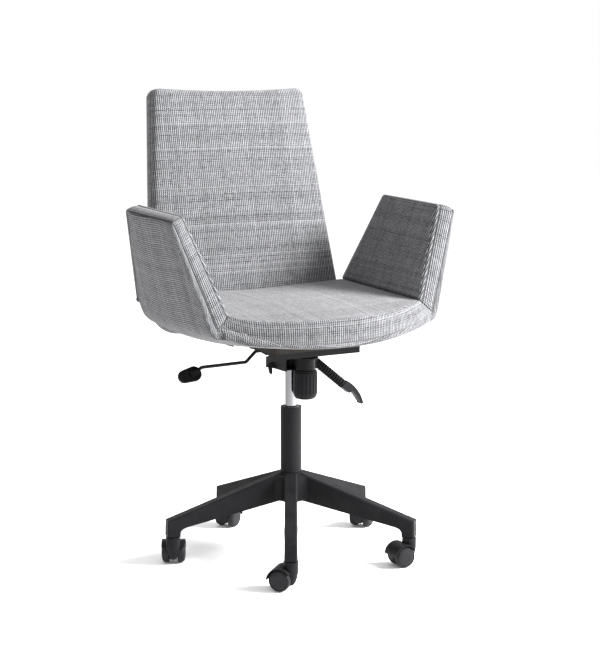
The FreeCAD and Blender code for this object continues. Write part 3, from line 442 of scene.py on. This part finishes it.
def box_pad(name, near, far, profile, wrap, mitres, rise, panel, mirrored=False):
    """A pad between two loops: a face on each, and bands between them that follow a profile.

    profile rows are (outset, depth, share of the thickness); the first `wrap` rows belong to the face."""
    counts = [len(side) - 1 for side in near]
    near_loop = loop_of(near)
    far_loop = loop_of(far)
    size = len(near_loop)
    thick = far_loop - near_loop
    deep = unit(thick)
    tangent = np.roll(near_loop, -1, 0) - np.roll(near_loop, 1, 0)
    out = unit(np.cross(tangent, deep))
    if ((near_loop - near_loop.mean(0)) * out).sum() < 0:
        out = -out
    rings = []
    for k, (outset, depth, share) in enumerate(profile):
        ring = near_loop + out * outset + deep * depth + thick * share
        if wrap <= k < len(profile) - 3:
            for corner in mitres:
                place = sum(counts[:corner])
                for offset, groove in ((-1, 0.2), (0, 1.4), (1, 0.2)):
                    at = (place + offset) % size
                    ring[at] = ring[at] - out[at] * groove * MM
        rings.append(ring)
    cap = coons(*sides_of(rings[0], counts))
    nu, nv = cap.shape[:2]
    towards = -deep.mean(0)
    normal = grid_normals(cap, towards)
    gap = np.linspace(0, 1, nu)[:, None], np.linspace(0, 1, nv)[None, :]
    u = np.broadcast_to(gap[0], (nu, nv))
    v = np.broadcast_to(gap[1], (nu, nv))
    lift = rise(u, v)
    lift[[0, -1], :] = 0
    lift[:, [0, -1]] = 0
    cap = cap + normal * lift[..., None]
    back = coons(*sides_of(rings[-1], counts))
    index = np.arange(nu * nv).reshape(nu, nv)
    rim = perimeter(index)
    ring_start = nu * nv
    loops = [rim] + [ring_start + size * k + np.arange(size) for k in range(len(rings) - 2)]
    back_start = ring_start + size * (len(rings) - 2)
    back_index = back_start + np.arange(nu * nv).reshape(nu, nv)
    loops.append(perimeter(back_index))
    points = np.concatenate([cap.reshape(-1, 3)] + rings[1:-1] + [back.reshape(-1, 3)])
    faces = grid_faces(index) + [list(reversed(f)) for f in grid_faces(back_index)]
    for a, b in zip(loops, loops[1:]):
        for k in range(size):
            m = (k + 1) % size
            faces.append([a[m], a[k], b[k], b[m]])
    across = unit(near[1].mean(0) - near[3].mean(0))
    upward = unit(np.cross(normal.reshape(-1, 3).mean(0), across))
    weave = np.zeros((len(points), 3))
    flat = np.stack([points @ across, points @ upward], -1)
    weave[:, :2] = flat
    side = np.stack([out @ across, out @ upward], -1)
    run = lengths(np.concatenate([near_loop, near_loop[:1]]), 0)[:-1]
    surface_run = 0.0
    for k in range(1, len(rings)):
        surface_run += np.linalg.norm(rings[k] - rings[k - 1], axis=-1).mean()
        here = loops[k]
        if k < wrap:
            weave[here, :2] = flat[rim] + side * surface_run
        elif k < len(rings) - 1:
            weave[here, 0] = surface_run + 3 * PANEL_SHIFT
            weave[here, 1] = run
    weave[:, 0] += PANEL_SHIFT * panel
    weave[:, 1] += 2 * PANEL_SHIFT * panel
    return new_piece(name, points, faces, weave, mirrored)


def round_rows(r, start=0.0):
    """Profile rows of a quarter round that begins r inside the loop."""
    rows = []
    for k in range(6):
        a = math.radians(90) * k / 5
        rows.append((r * math.sin(a) - r, start + r - r * math.cos(a), 0.0))
    return rows


def groove_rows(depth, share=0.0, rise=0.0):
    """Profile rows of a seam across a band."""
    shape = ((-1.6, 0.0), (-0.7, -0.5), (0.0, -SEAM_R * 1.4 / MM), (0.7, -0.5), (1.6, 0.0))
    return [(rise + y * MM, depth + x * MM, share) for x, y in shape]


# ---- materials ----
class Nodes:
    """Short names for building a node tree."""

    def __init__(self, name):
        self.material = bpy.data.materials.new(name)
        self.material.use_nodes = True
        self.tree = self.material.node_tree
        self.shader = self.tree.nodes["Principled BSDF"]

    def node(self, kind, *inputs, **settings):
        node = self.tree.nodes.new(kind)
        for key, value in settings.items():
            setattr(node, key, value)
        for i, value in enumerate(inputs):
            self.feed(node.inputs[i], value)
        return node

    def feed(self, socket, value):
        if value is None:
            return
        if isinstance(value, bpy.types.NodeSocket):
            self.tree.links.new(value, socket)
        else:
            socket.default_value = value

    def math(self, operation, *inputs):
        return self.node("ShaderNodeMath", *inputs, operation=operation).outputs[0]

    def noise(self, place, scale, detail=3.0, rough=0.6):
        node = self.node("ShaderNodeTexNoise", noise_dimensions="3D")
        self.feed(node.inputs["Vector"], place)
        self.feed(node.inputs["Scale"], scale)
        self.feed(node.inputs["Detail"], detail)
        self.feed(node.inputs["Roughness"], rough)
        return node.outputs[0]

    def pick(self, x, y):
        """A random number from 0 to 1 for a pair of whole numbers."""
        place = self.node("ShaderNodeCombineXYZ", x, y).outputs[0]
        return self.node("ShaderNodeTexWhiteNoise", place, noise_dimensions="2D").outputs[0]

    def odd(self, number):
        """1 for an odd whole number and 0 for an even one."""
        return self.math("MODULO", self.math("ADD", number, EVEN_START), 2.0)

    def arch(self, value):
        """0 at 0, 1 at a half and 0 again at 1."""
        from_middle = self.math("ABSOLUTE", self.math("SUBTRACT", value, 0.5))
        return self.math("MULTIPLY", self.math("SUBTRACT", 0.5, from_middle), 2.0)

    def ramp(self, value, stops, mode="LINEAR"):
        node = self.node("ShaderNodeValToRGB", value)
        ramp = node.color_ramp
        ramp.interpolation = mode
        while len(ramp.elements) < len(stops):
            ramp.elements.new(0.5)
        for element, (at, colour) in zip(ramp.elements, stops):
            element.position = at
            element.color = (*colour, 1.0)
        return node.outputs[0]

    def blend(self, factor, a, b, mode="MIX"):
        node = self.node("ShaderNodeMix", data_type="RGBA", blend_type=mode)
        self.feed(node.inputs[0], factor)
        self.feed(node.inputs[6], a)
        self.feed(node.inputs[7], b)
        return node.outputs[2]

    def bump(self, height, distance, strength=1.0, under=None):
        node = self.node("ShaderNodeBump")
        self.feed(node.inputs["Strength"], strength)
        self.feed(node.inputs["Distance"], distance)
        self.feed(node.inputs["Height"], height)
        self.feed(node.inputs["Normal"], under)
        return node.outputs[0]

    def set(self, **values):
        for name, value in values.items():
            self.feed(self.shader.inputs[name.replace("_", " ")], value)


def make_tweed():
    """Plain weave on a light ground: every other warp is dark, and shows as dots at each second crossing."""
    n = Nodes("tweed_weave")
    place = n.node("ShaderNodeAttribute", attribute_name="weave").outputs["Vector"]
    drift_x = n.math("MULTIPLY", n.math("SUBTRACT", n.noise(place, 9.0, 1.0), 0.5), 4 * MM)
    drift_y = n.math("MULTIPLY", n.math("SUBTRACT", n.noise(place, 7.0, 1.0), 0.5), 4 * MM)
    split = n.node("ShaderNodeSeparateXYZ", place)
    x = n.math("DIVIDE", n.math("ADD", split.outputs[0], drift_x), YARN)
    y = n.math("DIVIDE", n.math("ADD", split.outputs[1], drift_y), YARN)
    column = n.math("FLOOR", x)
    row = n.math("FLOOR", y)
    in_x = n.math("SUBTRACT", x, column)
    in_y = n.math("SUBTRACT", y, row)
    over = n.odd(n.math("ADD", column, row))
    second = n.odd(column)
    # each yarn has its own tone and is slubby: the tone changes every few crossings
    weft_start = n.math("MULTIPLY", n.pick(row, 7.5), 9.0)
    warp_start = n.math("MULTIPLY", n.pick(column, 3.5), 9.0)
    weft_run = n.math("FLOOR", n.math("ADD", n.math("DIVIDE", column, SLUB_WEFT), weft_start))
    warp_run = n.math("FLOOR", n.math("ADD", n.math("DIVIDE", row, SLUB_WARP), warp_start))
    weft_pick = n.math("ADD", n.math("MULTIPLY", n.pick(weft_run, row), 0.5),
                       n.math("MULTIPLY", n.pick(row, 1.5), 0.5))
    warp_pick = n.math("ADD", n.math("MULTIPLY", n.pick(column, warp_run), 0.55),
                       n.math("MULTIPLY", n.pick(column, 2.5), 0.45))
    light = [(0.0, TWEED_GREY), (0.3, TWEED_PALE), (1.0, TWEED_WHITE)]
    dark = [(0.0, TWEED_BLACK), (0.75, TWEED_COAL), (1.0, TWEED_GREY)]
    weft = n.ramp(weft_pick, light)
    # every other weft is thinner and darker, and here and there one is bright right across
    weft = n.blend(n.math("MULTIPLY", n.odd(row), THIN_WEFT), weft, (*TWEED_COAL, 1.0))
    bright_row = n.math("GREATER_THAN", n.pick(row, 8.5), 1 - BRIGHT_SHARE)
    weft = n.blend(n.math("MULTIPLY", bright_row, 0.35), weft, (*TWEED_WHITE, 1.0))
    warp = n.blend(second, n.ramp(warp_pick, dark), n.ramp(warp_pick, light))
    colour = n.blend(over, warp, weft)
    # roundness of the yarns, and painted shade: the colour darkens on each yarn's flanks and in the gaps
    # between yarns
    across = n.arch(in_x)
    down = n.arch(in_y)
    warp_round = n.math("MULTIPLY", n.math("POWER", across, 0.5), n.math("POWER", down, 0.25))
    weft_round = n.math("MULTIPLY", n.math("POWER", down, 0.5), n.math("POWER", across, 0.25))
    yarn_high = n.math("ADD", n.math("MULTIPLY", warp_round, n.math("SUBTRACT", 1.0, over)),
                       n.math("MULTIPLY", weft_round, over))
    fuzz = n.noise(place, 900.0, 2.0)
    # painted shade multiplied into the colour, darkest in the gaps between the yarns
    painted_shade = n.ramp(yarn_high, [(0.0, (0.42, 0.42, 0.43)), (0.55, (1.0, 1.0, 1.0))])
    colour = n.blend(0.8, colour, painted_shade, "MULTIPLY")
    tone = n.ramp(n.noise(place, 14.0, 3.0), [(0.3, (0.94, 0.94, 0.94)), (0.7, (1.04, 1.04, 1.04))])
    colour = n.blend(1.0, colour, tone, "MULTIPLY")
    # faint plaid: bands of a few yarns each way
    band_x = n.pick(n.math("FLOOR", n.math("DIVIDE", column, PLAID_WARPS)), 4.5)
    band_y = n.pick(n.math("FLOOR", n.math("DIVIDE", row, PLAID_WEFTS)), 5.5)
    plaid = n.ramp(n.math("MULTIPLY", n.math("ADD", band_x, band_y), 0.5),
                   [(0.15, (0.90, 0.90, 0.90)), (0.85, (1.10, 1.10, 1.10))])
    colour = n.blend(1.0, colour, plaid, "MULTIPLY")
    height = n.math("ADD", yarn_high, n.math("MULTIPLY", fuzz, 0.35))
    n.set(Base_Color=colour, Roughness=0.92, Sheen_Weight=0.15, Sheen_Roughness=0.5,
          Specular_IOR_Level=0.15, Normal=n.bump(height, 0.45 * MM, 0.7))
    return n.material


def object_place(n):
    return n.node("ShaderNodeTexCoord").outputs["Object"]


def make_plastic(name, dark, light, rough, grain):
    """Moulded plastic: fine spark-eroded grain, slight cloudiness and scuffs."""
    n = Nodes(name)
    place = object_place(n)
    cloud = n.noise(place, 18.0, 4.0)
    colour = n.ramp(cloud, [(0.3, dark), (0.75, light)])
    pits = n.noise(place, grain, 2.0, 0.7)
    worn = n.noise(place, 60.0, 5.0, 0.7)
    gloss = n.node("ShaderNodeMapRange", worn, 0.3, 0.8, rough - 0.07, rough + 0.09).outputs[0]
    n.set(Base_Color=colour, Roughness=gloss, Specular_IOR_Level=0.09, Normal=n.bump(pits, 0.12 * MM, 0.5))
    return n.material


def make_steel(name, dark, light, metallic, rough, brushed):
    """Coated or plated steel: faint drawing marks, rubbed highlights, and painted shade that darkens the
    colour where the surface turns away from view.
    """
    n = Nodes(name)
    marks = n.noise(object_place(n), brushed, 4.0, 0.65)
    colour = n.ramp(marks, [(0.3, dark), (0.7, light)])
    # painted shade: the colour darkens towards grazing angles, standing in for dark reflections at the edges
    edge = n.node("ShaderNodeLayerWeight", 0.35).outputs["Facing"]
    painted_shade = n.ramp(edge, [(0.30, (1.0, 1.0, 1.0)), (0.85, (0.35, 0.35, 0.36))])
    colour = n.blend(1.0, colour, painted_shade, "MULTIPLY")
    gloss = n.node("ShaderNodeMapRange", marks, 0.25, 0.75, rough - 0.05, rough + 0.08).outputs[0]
    n.set(Base_Color=colour, Metallic=metallic, Roughness=gloss, Specular_IOR_Level=0.09,
          Normal=n.bump(marks, 0.05 * MM, 0.35))
    return n.material


def make_plywood():
    """Plywood stained black, with its plies still showing at the edges."""
    n = Nodes("plywood_stained")
    place = object_place(n)
    split = n.node("ShaderNodeSeparateXYZ", place)
    ply = n.math("SINE", n.math("MULTIPLY", split.outputs[2], 2200.0))
    grain = n.noise(place, 120.0, 5.0)
    tone = n.math("ADD", n.math("MULTIPLY", ply, 0.2), grain)
    colour = n.ramp(tone, [(0.2, (0.008, 0.007, 0.006)), (0.8, (0.035, 0.028, 0.022))])
    n.set(Base_Color=colour, Roughness=0.7, Specular_IOR_Level=0.25, Normal=n.bump(grain, 0.2 * MM, 0.4))
    return n.material


def make_floor():
    n = Nodes("studio_floor")
    place = object_place(n)
    soft = n.ramp(n.noise(place, 1.5, 3.0), [(0.3, (0.90, 0.90, 0.90)), (0.7, (0.92, 0.92, 0.92))])
    n.set(Base_Color=soft, Roughness=0.9, Specular_IOR_Level=0.1, Emission_Color=(1.0, 1.0, 1.0, 1.0),
          Emission_Strength=0.06)
    return n.material


tweed = make_tweed()
finishes = {
    "tweed": tweed,
    "nylon_black": make_plastic("nylon_base", (0.006, 0.006, 0.007), (0.012, 0.012, 0.013), 0.52, 900.0),
    "plastic_black": make_plastic("plastic_hood", (0.006, 0.006, 0.007), (0.013, 0.013, 0.014), 0.45, 1300.0),
    "wheel_grey": make_plastic("wheel_nylon", (0.014, 0.014, 0.015), (0.024, 0.024, 0.026), 0.50, 1100.0),
    "rubber_black": make_plastic("rubber_sleeve", (0.006, 0.006, 0.006), (0.012, 0.012, 0.013), 0.62, 1500.0),
    "steel_black": make_steel("steel_coated", (0.006, 0.006, 0.007), (0.014, 0.014, 0.015), 0.0, 0.45, 500.0),
    "steel_bright": make_steel("steel_plated", (0.16, 0.16, 0.165), (0.24, 0.24, 0.245), 1.0, 0.30, 300.0),
    "chrome": make_steel("chrome_bar", (0.20, 0.20, 0.21), (0.25, 0.25, 0.26), 1.0, 0.14, 200.0),
    "bush_grey": make_plastic("bush_acetal", (0.14, 0.14, 0.14), (0.18, 0.18, 0.18), 0.45, 900.0),
    "plywood": make_plywood(),
}

for node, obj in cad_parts.items():
    slot = obj.data.materials[0].name if obj.data.materials else "tweed"
    finish = finishes.get(slot.split(".")[0], finishes["plastic_black"])
    obj.data.materials.clear()
    obj.data.materials.append(finish)
    for polygon in obj.data.polygons:
        polygon.material_index = 0

# ---- the arms' corners and the back's plane, from the CAD pads ----
inner = {
    "front_low": extreme("right_arm_pad", -3, -1.2, -1),
    "rear_low": extreme("right_arm_pad", -3, 1, 0),
    "rear_top": extreme("right_arm_pad", -1, 1, 2),
    "front_top": extreme("right_arm_pad", -1, -0.5, 1.2),
}
outer = {
    "front_low": extreme("right_arm_pad", 0, -1, -1.5),
    "rear_low": extreme("right_arm_pad", 0, 1, -1),
    "rear_top": extreme("right_arm_pad", 2, 1, 1),
    "front_top": extreme("right_arm_pad", 2, -1, 1),
}
LOOP_ORDER = ("front_low", "rear_low", "rear_top", "front_top")

back_points = vertices("back_pad")
back_top_front = extreme("back_pad", 0, 0, 1)
back_low_front = extreme("back_pad", 0, -1, 0)
back_low, back_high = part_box("back_pad")
back_up = unit(vec(0, back_top_front[1] - back_low_front[1], back_top_front[2] - back_low_front[2]))
back_in = vec(0, back_up[2], -back_up[1])
back_thick = (extreme("back_pad", 0, back_in[1], back_in[2]) - back_top_front) @ back_in
near_top = back_points[back_points[:, 2] > back_top_front[2] - 0.5 * MM]
# the CAD back's top edge is flat only between its rounded corners
back_top_half = np.abs(near_top[:, 0]).max() + 20 * MM
back_low_half = back_high[0]

border_low, border_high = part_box("front_border")
SEAT_FRONT_Y = border_low[1]

# ---- loops of the right arm and the back ----
ARM_COUNTS = (26, 24)
BACK_COUNTS = (44, 46)


def arm_loops():
    radii = (3 * MM, 3 * MM, ARM_CORNER_R, ARM_CORNER_R)
    shift = vec(0, 0, 0), vec(0, ARM_REAR_OUT, 0), vec(0, ARM_REAR_OUT, ARM_TOP_LIFT), vec(0, 0, ARM_TOP_LIFT)
    near = rounded_sides([inner[key] + d for key, d in zip(LOOP_ORDER, shift)], radii, ARM_COUNTS)
    far = rounded_sides([outer[key] + d for key, d in zip(LOOP_ORDER, shift)], radii, ARM_COUNTS)
    return near, far


def back_loops():
    high = (back_top_front - back_low_front) @ back_up
    foot = vec(0, back_low_front[1], back_low_front[2])
    corners = [foot + vec(-back_low_half, 0, 0), foot + vec(back_low_half, 0, 0),
               foot + back_up * high + vec(back_top_half, 0, 0),
               foot + back_up * high - vec(back_top_half, 0, 0)]
    radii = (BACK_FOOT_R, BACK_FOOT_R, BACK_CORNER_R, BACK_CORNER_R)
    near = rounded_sides(corners, radii, BACK_COUNTS)
    top = near[2]
    share = np.clip(1 - (top[:, 0] / (back_top_half - BACK_CORNER_R)) ** 2, 0, 1)
    near[2] = top - back_up * (share * BACK_TOP_DIP)[:, None]
    far = [side + back_in * back_thick for side in near]
    return near, far


def seat_surface():
    """Surface of the seat between the arms, the front seam and the back."""
    count = 33
    side = np.linspace(0, 1, count)[:, None]
    right = mix(inner["front_low"], inner["rear_low"], side)
    front = border_line(0.0, np.linspace(0, 1, count))
    rear_mid = vec(0, back_low_front[1] + 20 * MM, inner["rear_low"][2] - 10 * MM)
    rear = smooth([flip_x(right[-1]), mix(flip_x(right[-1]), rear_mid, 0.5), rear_mid,
                   mix(right[-1], rear_mid, 0.5), right[-1]], np.linspace(0, 1, count))
    grid = coons(front, right, rear, flip_x(right))

    def at(u, v):
        n = count - 1
        x = np.clip(u, 0, 1) * n
        y = np.clip(v, 0, 1) * n
        i = np.minimum(x.astype(int), n - 1)
        j = np.minimum(y.astype(int), n - 1)
        fx = (x - i)[..., None]
        fy = (y - j)[..., None]
        return mix(mix(grid[i, j], grid[i + 1, j], fx), mix(grid[i, j + 1], grid[i + 1, j + 1], fx), fy)

    return at


# how sharply each seam of the band turns up at its left and right ends
BORDER_TOP_POWERS = (7.0, 2.0)
BORDER_FOOT_POWERS = (8.0, 2.0)


def bow(half, y_end, x):
    """Front-to-back place of a bowed line that ends at half, y_end and is foremost at x = 0."""
    sag = y_end - SEAT_FRONT_Y
    r = (half ** 2 + sag ** 2) / (2 * sag)
    return SEAT_FRONT_Y + r - np.sqrt(r ** 2 - x ** 2)


def border_line(down, t):
    """A line along the front band, from left to right: down is 0 at its top seam, 1 at its lower one."""
    high = inner["front_low"]
    seam_z = border_high[2] - 1 * MM
    side = np.abs(2 * t - 1)
    x = (2 * t - 1) * high[0]
    z = seam_z + (high[2] - seam_z) * side ** np.where(t < 0.5, *BORDER_TOP_POWERS)
    top = np.stack([x, bow(high[0], high[1], x), z], -1)
    low = outer["front_low"]
    foot_z = border_high[2] - BORDER_HIGH
    x = (2 * t - 1) * low[0]
    z = foot_z + (low[2] - foot_z) * side ** np.where(t < 0.5, *BORDER_FOOT_POWERS)
    bottom = np.stack([x, bow(low[0], low[1], x), z], -1)
    return mix(top, bottom, down)


def border_surface(u, v):
    v = np.clip(v, 0, 1)
    u = np.clip(u, 0, 1)
    high = border_line(0.0, v.ravel()).reshape(v.shape + (3,))
    low = border_line(1.0, v.ravel()).reshape(v.shape + (3,))
    return mix(high, low, u[..., None])


# ---- outer shell: one skin from the top of one arm, under the seat, to the top of the other ----
SHELL_UNDER_Z = 0.515


def shell_rows():
    """Knots of the shell's front, middle and rear lines on the right, from the centre to the arm's top."""
    front = [border_line(1.0, vec(t))[0] for t in (0.5, 0.66, 0.81, 0.92, 0.97, 1.0)]
    low, top = outer["front_low"], outer["front_top"]
    front += [mix(low, top, s) for s in (0.25, 0.6, 1.0)]
    under = SHELL_UNDER_Z
    middle = [vec(0, -5 * MM, under), vec(0.095, -5 * MM, under + 3 * MM),
              vec(0.185, -4 * MM, under + 14 * MM),
              vec(0.247, -3 * MM, under + 31 * MM), vec(0.284, 0, under + 50 * MM),
              vec(0.302, 0, under + 74 * MM), vec(0.318, -1 * MM, under + 122 * MM),
              vec(0.346, -4 * MM, under + 213 * MM), mix(outer["front_top"], outer["rear_top"], 0.5)]
    rear_low, rear_top = outer["rear_low"], outer["rear_top"]
    y = rear_low[1] + 16 * MM
    rear = [vec(0, y, 0.521), vec(0.095, y, 0.523), vec(0.185, y - 1 * MM, 0.532),
            vec(0.245, y - 4 * MM, 0.547),
            vec(0.283, y - 10 * MM, 0.568), rear_low, mix(rear_low, rear_top, 0.2),
            mix(rear_low, rear_top, 0.58), rear_top]
    return [np.concatenate([flip_x(np.array(row[:0:-1])), np.array(row)]) for row in (front, middle, rear)]


shell_front, shell_middle, shell_rear = shell_rows()
SHELL_MIDDLE_AT = 0.46


def shell_surface(u, v):
    u = np.clip(u, 0, 1)
    a, b, c = [smooth(row, v) for row in (shell_front, shell_middle, shell_rear)]
    m = SHELL_MIDDLE_AT
    wa = (u - m) * (u - 1) / m
    wb = u * (u - 1) / (m * (m - 1))
    wc = u * (u - m) / (1 - m)
    return a * wa[..., None] + b * wb[..., None] + c * wc[..., None]


def shell_rise(u, v):
    """The skin stands proud of the bands' seams, most at the front."""
    u = np.clip(u, 0, 1)
    side = np.abs(2 * np.clip(v, 0, 1) - 1)
    towards_top = np.clip((side - 0.45) / 0.55, 0, 1)
    towards_middle = np.clip(1 - side / 0.5, 0, 1)
    front = SHELL_BULGE * (1 - 0.55 * towards_top ** 2 - 0.4 * towards_middle) * (1 - u) ** 1.5
    return front + 3 * MM * np.sin(np.pi * u)


# ---- covers ----
near, far = arm_loops()
back_near, back_far = back_loops()
seat_at = seat_surface()


def flat_surface(sides):
    bottom, right, top, left = sides
    corners = bottom[0], bottom[-1], right[-1], top[-1]

    def at(u, v):
        u = np.asarray(u)[..., None]
        v = np.asarray(v)[..., None]
        return mix(mix(corners[0], corners[1], u), mix(corners[3], corners[2], u), v)

    return at


heights = [None, None, None]
heights = blown([cushion_cover(s) for s in (seat_at, flat_surface(back_near), flat_surface(near))])

quiet = edge_profile(2 * MM, 0)
seat_edges = [edge_profile(SEAT_ROUND, bend_deg) for bend_deg in (40, 30, 30, 30)]
seat = skin("seat_pad", seat_at, vec(0, 0, 1), seat_edges, (56, 50),
            relief(heights[0], SEAT_CROWN), SEAT_DEEP, 1)

band_rows = groove_rows(8 * MM) + [
    (0.8 * MM, 13 * MM, 0), (1.6 * MM, 0, 0.4), (1.8 * MM, 0, 0.55), (1.2 * MM, 0, 0.75)]
arm_profile = round_rows(ARM_ROUND) + band_rows + [
    (0.4 * MM, -4 * MM, 1), (-0.4 * MM, -2.4 * MM, 1), (-1.6 * MM, -1.6 * MM, 1),
    (-5 * MM, -1.5 * MM, 1), (-12 * MM, -2 * MM, 1)]
arm_rise = relief(heights[2], ARM_CROWN)
arms = [box_pad(name, near, far, arm_profile, 8, (2, 3), arm_rise, panel, mirrored)
        for name, panel, mirrored in (("right_arm", 2, False), ("left_arm", 3, True))]

back_profile = round_rows(BACK_ROUND) + groove_rows(BACK_SEAM_BEHIND) + [
    (0.8 * MM, 20 * MM, 0), (1.5 * MM, 0, 0.55), (1.6 * MM, 0, 0.7), (0.9 * MM, -8 * MM, 1),
    (0.0, -5.5 * MM, 1), (-0.8 * MM, -3 * MM, 1), (-2.2 * MM, -1.6 * MM, 1), (-4.2 * MM, -2.6 * MM, 1),
    (-4.8 * MM, -0.6 * MM, 1), (-7 * MM, 0.6 * MM, 1), (-14 * MM, 1.5 * MM, 1)]
back = box_pad("back_pad_cover", back_near, back_far, back_profile, 8, (), relief(heights[1], BACK_CROWN), 4)

border = skin("front_band", border_surface, vec(0, -1, 0),
              (quiet, quiet, quiet, quiet), (10, 70), lambda u, v: BORDER_CROWN * drawn(u, v), 20 * MM, 5)

lip = rolled_edge(SHELL_LIP_R)
rear_edge = edge_profile(SHELL_REAR_R, 60)
shell = skin("outer_shell", shell_surface, vec(0, 0, -1),
             (lip, rear_edge, lip, lip), (36, 120), shell_rise, 4 * MM, 6)

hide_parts("seat_cushion")
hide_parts("right_arm_pad")
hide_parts("left_arm_pad")
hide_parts("back_pad")
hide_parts("front_border")
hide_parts("under_shell")
for piece, fill in ((seat, 0.7), (arms[0], 0.9), (arms[1], 0.9), (back, 0.8), (border, 0.9), (shell, 0.9)):
    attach(piece, "seat")

# ---- tension spring: it hangs in its cup; in the chair the rising bolt shortens it from below as the seat tilts, but here it is a rigid copy of the CAD coil, with a mesh of its own, carried by the lift body ----
spring = bpy.data.objects.new("spring_coil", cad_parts["tension_spring"].data.copy())
bpy.context.scene.collection.objects.link(spring)
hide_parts("tension_spring")
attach(spring, "lift")
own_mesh(spring)

# ---- floor, light and camera ----
FLOOR_HALF = 12
FLOOR_Z = -0.5 * MM
floor_mesh = bpy.data.meshes.new("floor")
floor_corners = [(x * FLOOR_HALF, y * FLOOR_HALF, FLOOR_Z) for x, y in ((-1, -1), (1, -1), (1, 1), (-1, 1))]
floor_mesh.from_pydata(floor_corners, [], [(0, 1, 2, 3)])
floor = bpy.data.objects.new("floor", floor_mesh)
bpy.context.scene.collection.objects.link(floor)
floor.data.materials.append(make_floor())


def make_sky():
    """White studio: brighter overhead, darker low down on the left, and plain white to the camera."""
    world = bpy.data.worlds.new("studio")
    bpy.context.scene.world = world
    world.use_nodes = True
    nodes, links = world.node_tree.nodes, world.node_tree.links
    direction = nodes.new("ShaderNodeTexCoord").outputs["Generated"]

    def towards(*axis):
        dot = nodes.new("ShaderNodeVectorMath")
        dot.operation = "DOT_PRODUCT"
        links.new(direction, dot.inputs[0])
        dot.inputs[1].default_value = axis
        return dot.outputs["Value"]

    def ramped(value, low, high, first, last):
        ramp = nodes.new("ShaderNodeMapRange")
        links.new(value, ramp.inputs[0])
        for socket, number in zip(ramp.inputs[1:5], (low, high, first, last)):
            socket.default_value = number
        return ramp.outputs[0]

    product = nodes.new("ShaderNodeMath")
    product.operation = "MULTIPLY"
    links.new(ramped(towards(-0.85, -0.3, -0.43), 0.1, 0.8, 1.0, LEFT_DIM), product.inputs[0])
    links.new(ramped(towards(0, 0, 1), 0.3, 1.0, SKY, OVERHEAD), product.inputs[1])
    seen = nodes.new("ShaderNodeMath")
    seen.operation = "MAXIMUM"
    links.new(product.outputs[0], seen.inputs[0])
    links.new(nodes.new("ShaderNodeLightPath").outputs["Is Camera Ray"], seen.inputs[1])
    links.new(seen.outputs[0], nodes["Background"].inputs["Strength"])
    nodes["Background"].inputs["Color"].default_value = (1.0, 1.0, 1.0, 1.0)


make_sky()


def area_light(name, azimuth_deg, elevation_deg, distance, size, power):
    """Square soft light aimed at the chair; azimuth is measured from the front towards +X."""
    light = bpy.data.lights.new(name, "AREA")
    light.size = size
    light.energy = power
    a = math.radians(azimuth_deg)
    e = math.radians(elevation_deg)
    lamp = bpy.data.objects.new(name, light)
    bpy.context.scene.collection.objects.link(lamp)
    lamp.location = (distance * math.sin(a) * math.cos(e), -distance * math.cos(a) * math.cos(e),
                     0.6 + distance * math.sin(e))
    lamp.rotation_euler = (math.radians(90) - e, 0, a)
    return lamp


area_light("key", KEY_AZIMUTH_DEG, KEY_ELEVATION_DEG, KEY_DISTANCE, KEY_SIZE, KEY_POWER)

camera = bpy.data.objects.new("camera", bpy.data.cameras.new("camera"))
bpy.context.scene.collection.objects.link(camera)
azimuth = math.radians(CAMERA_AZIMUTH_DEG)
camera.location = (-CAMERA_FROM_AXIS * math.sin(azimuth), -CAMERA_FROM_AXIS * math.cos(azimuth),
                   CAMERA_HEIGHT)
camera.rotation_euler = (math.radians(90 - CAMERA_DOWN_DEG), 0, -azimuth)
camera.data.lens = LENS_MM
camera.data.shift_x = SHIFT_X
bpy.context.scene.camera = camera
bpy.context.scene.view_settings.view_transform = "Standard"
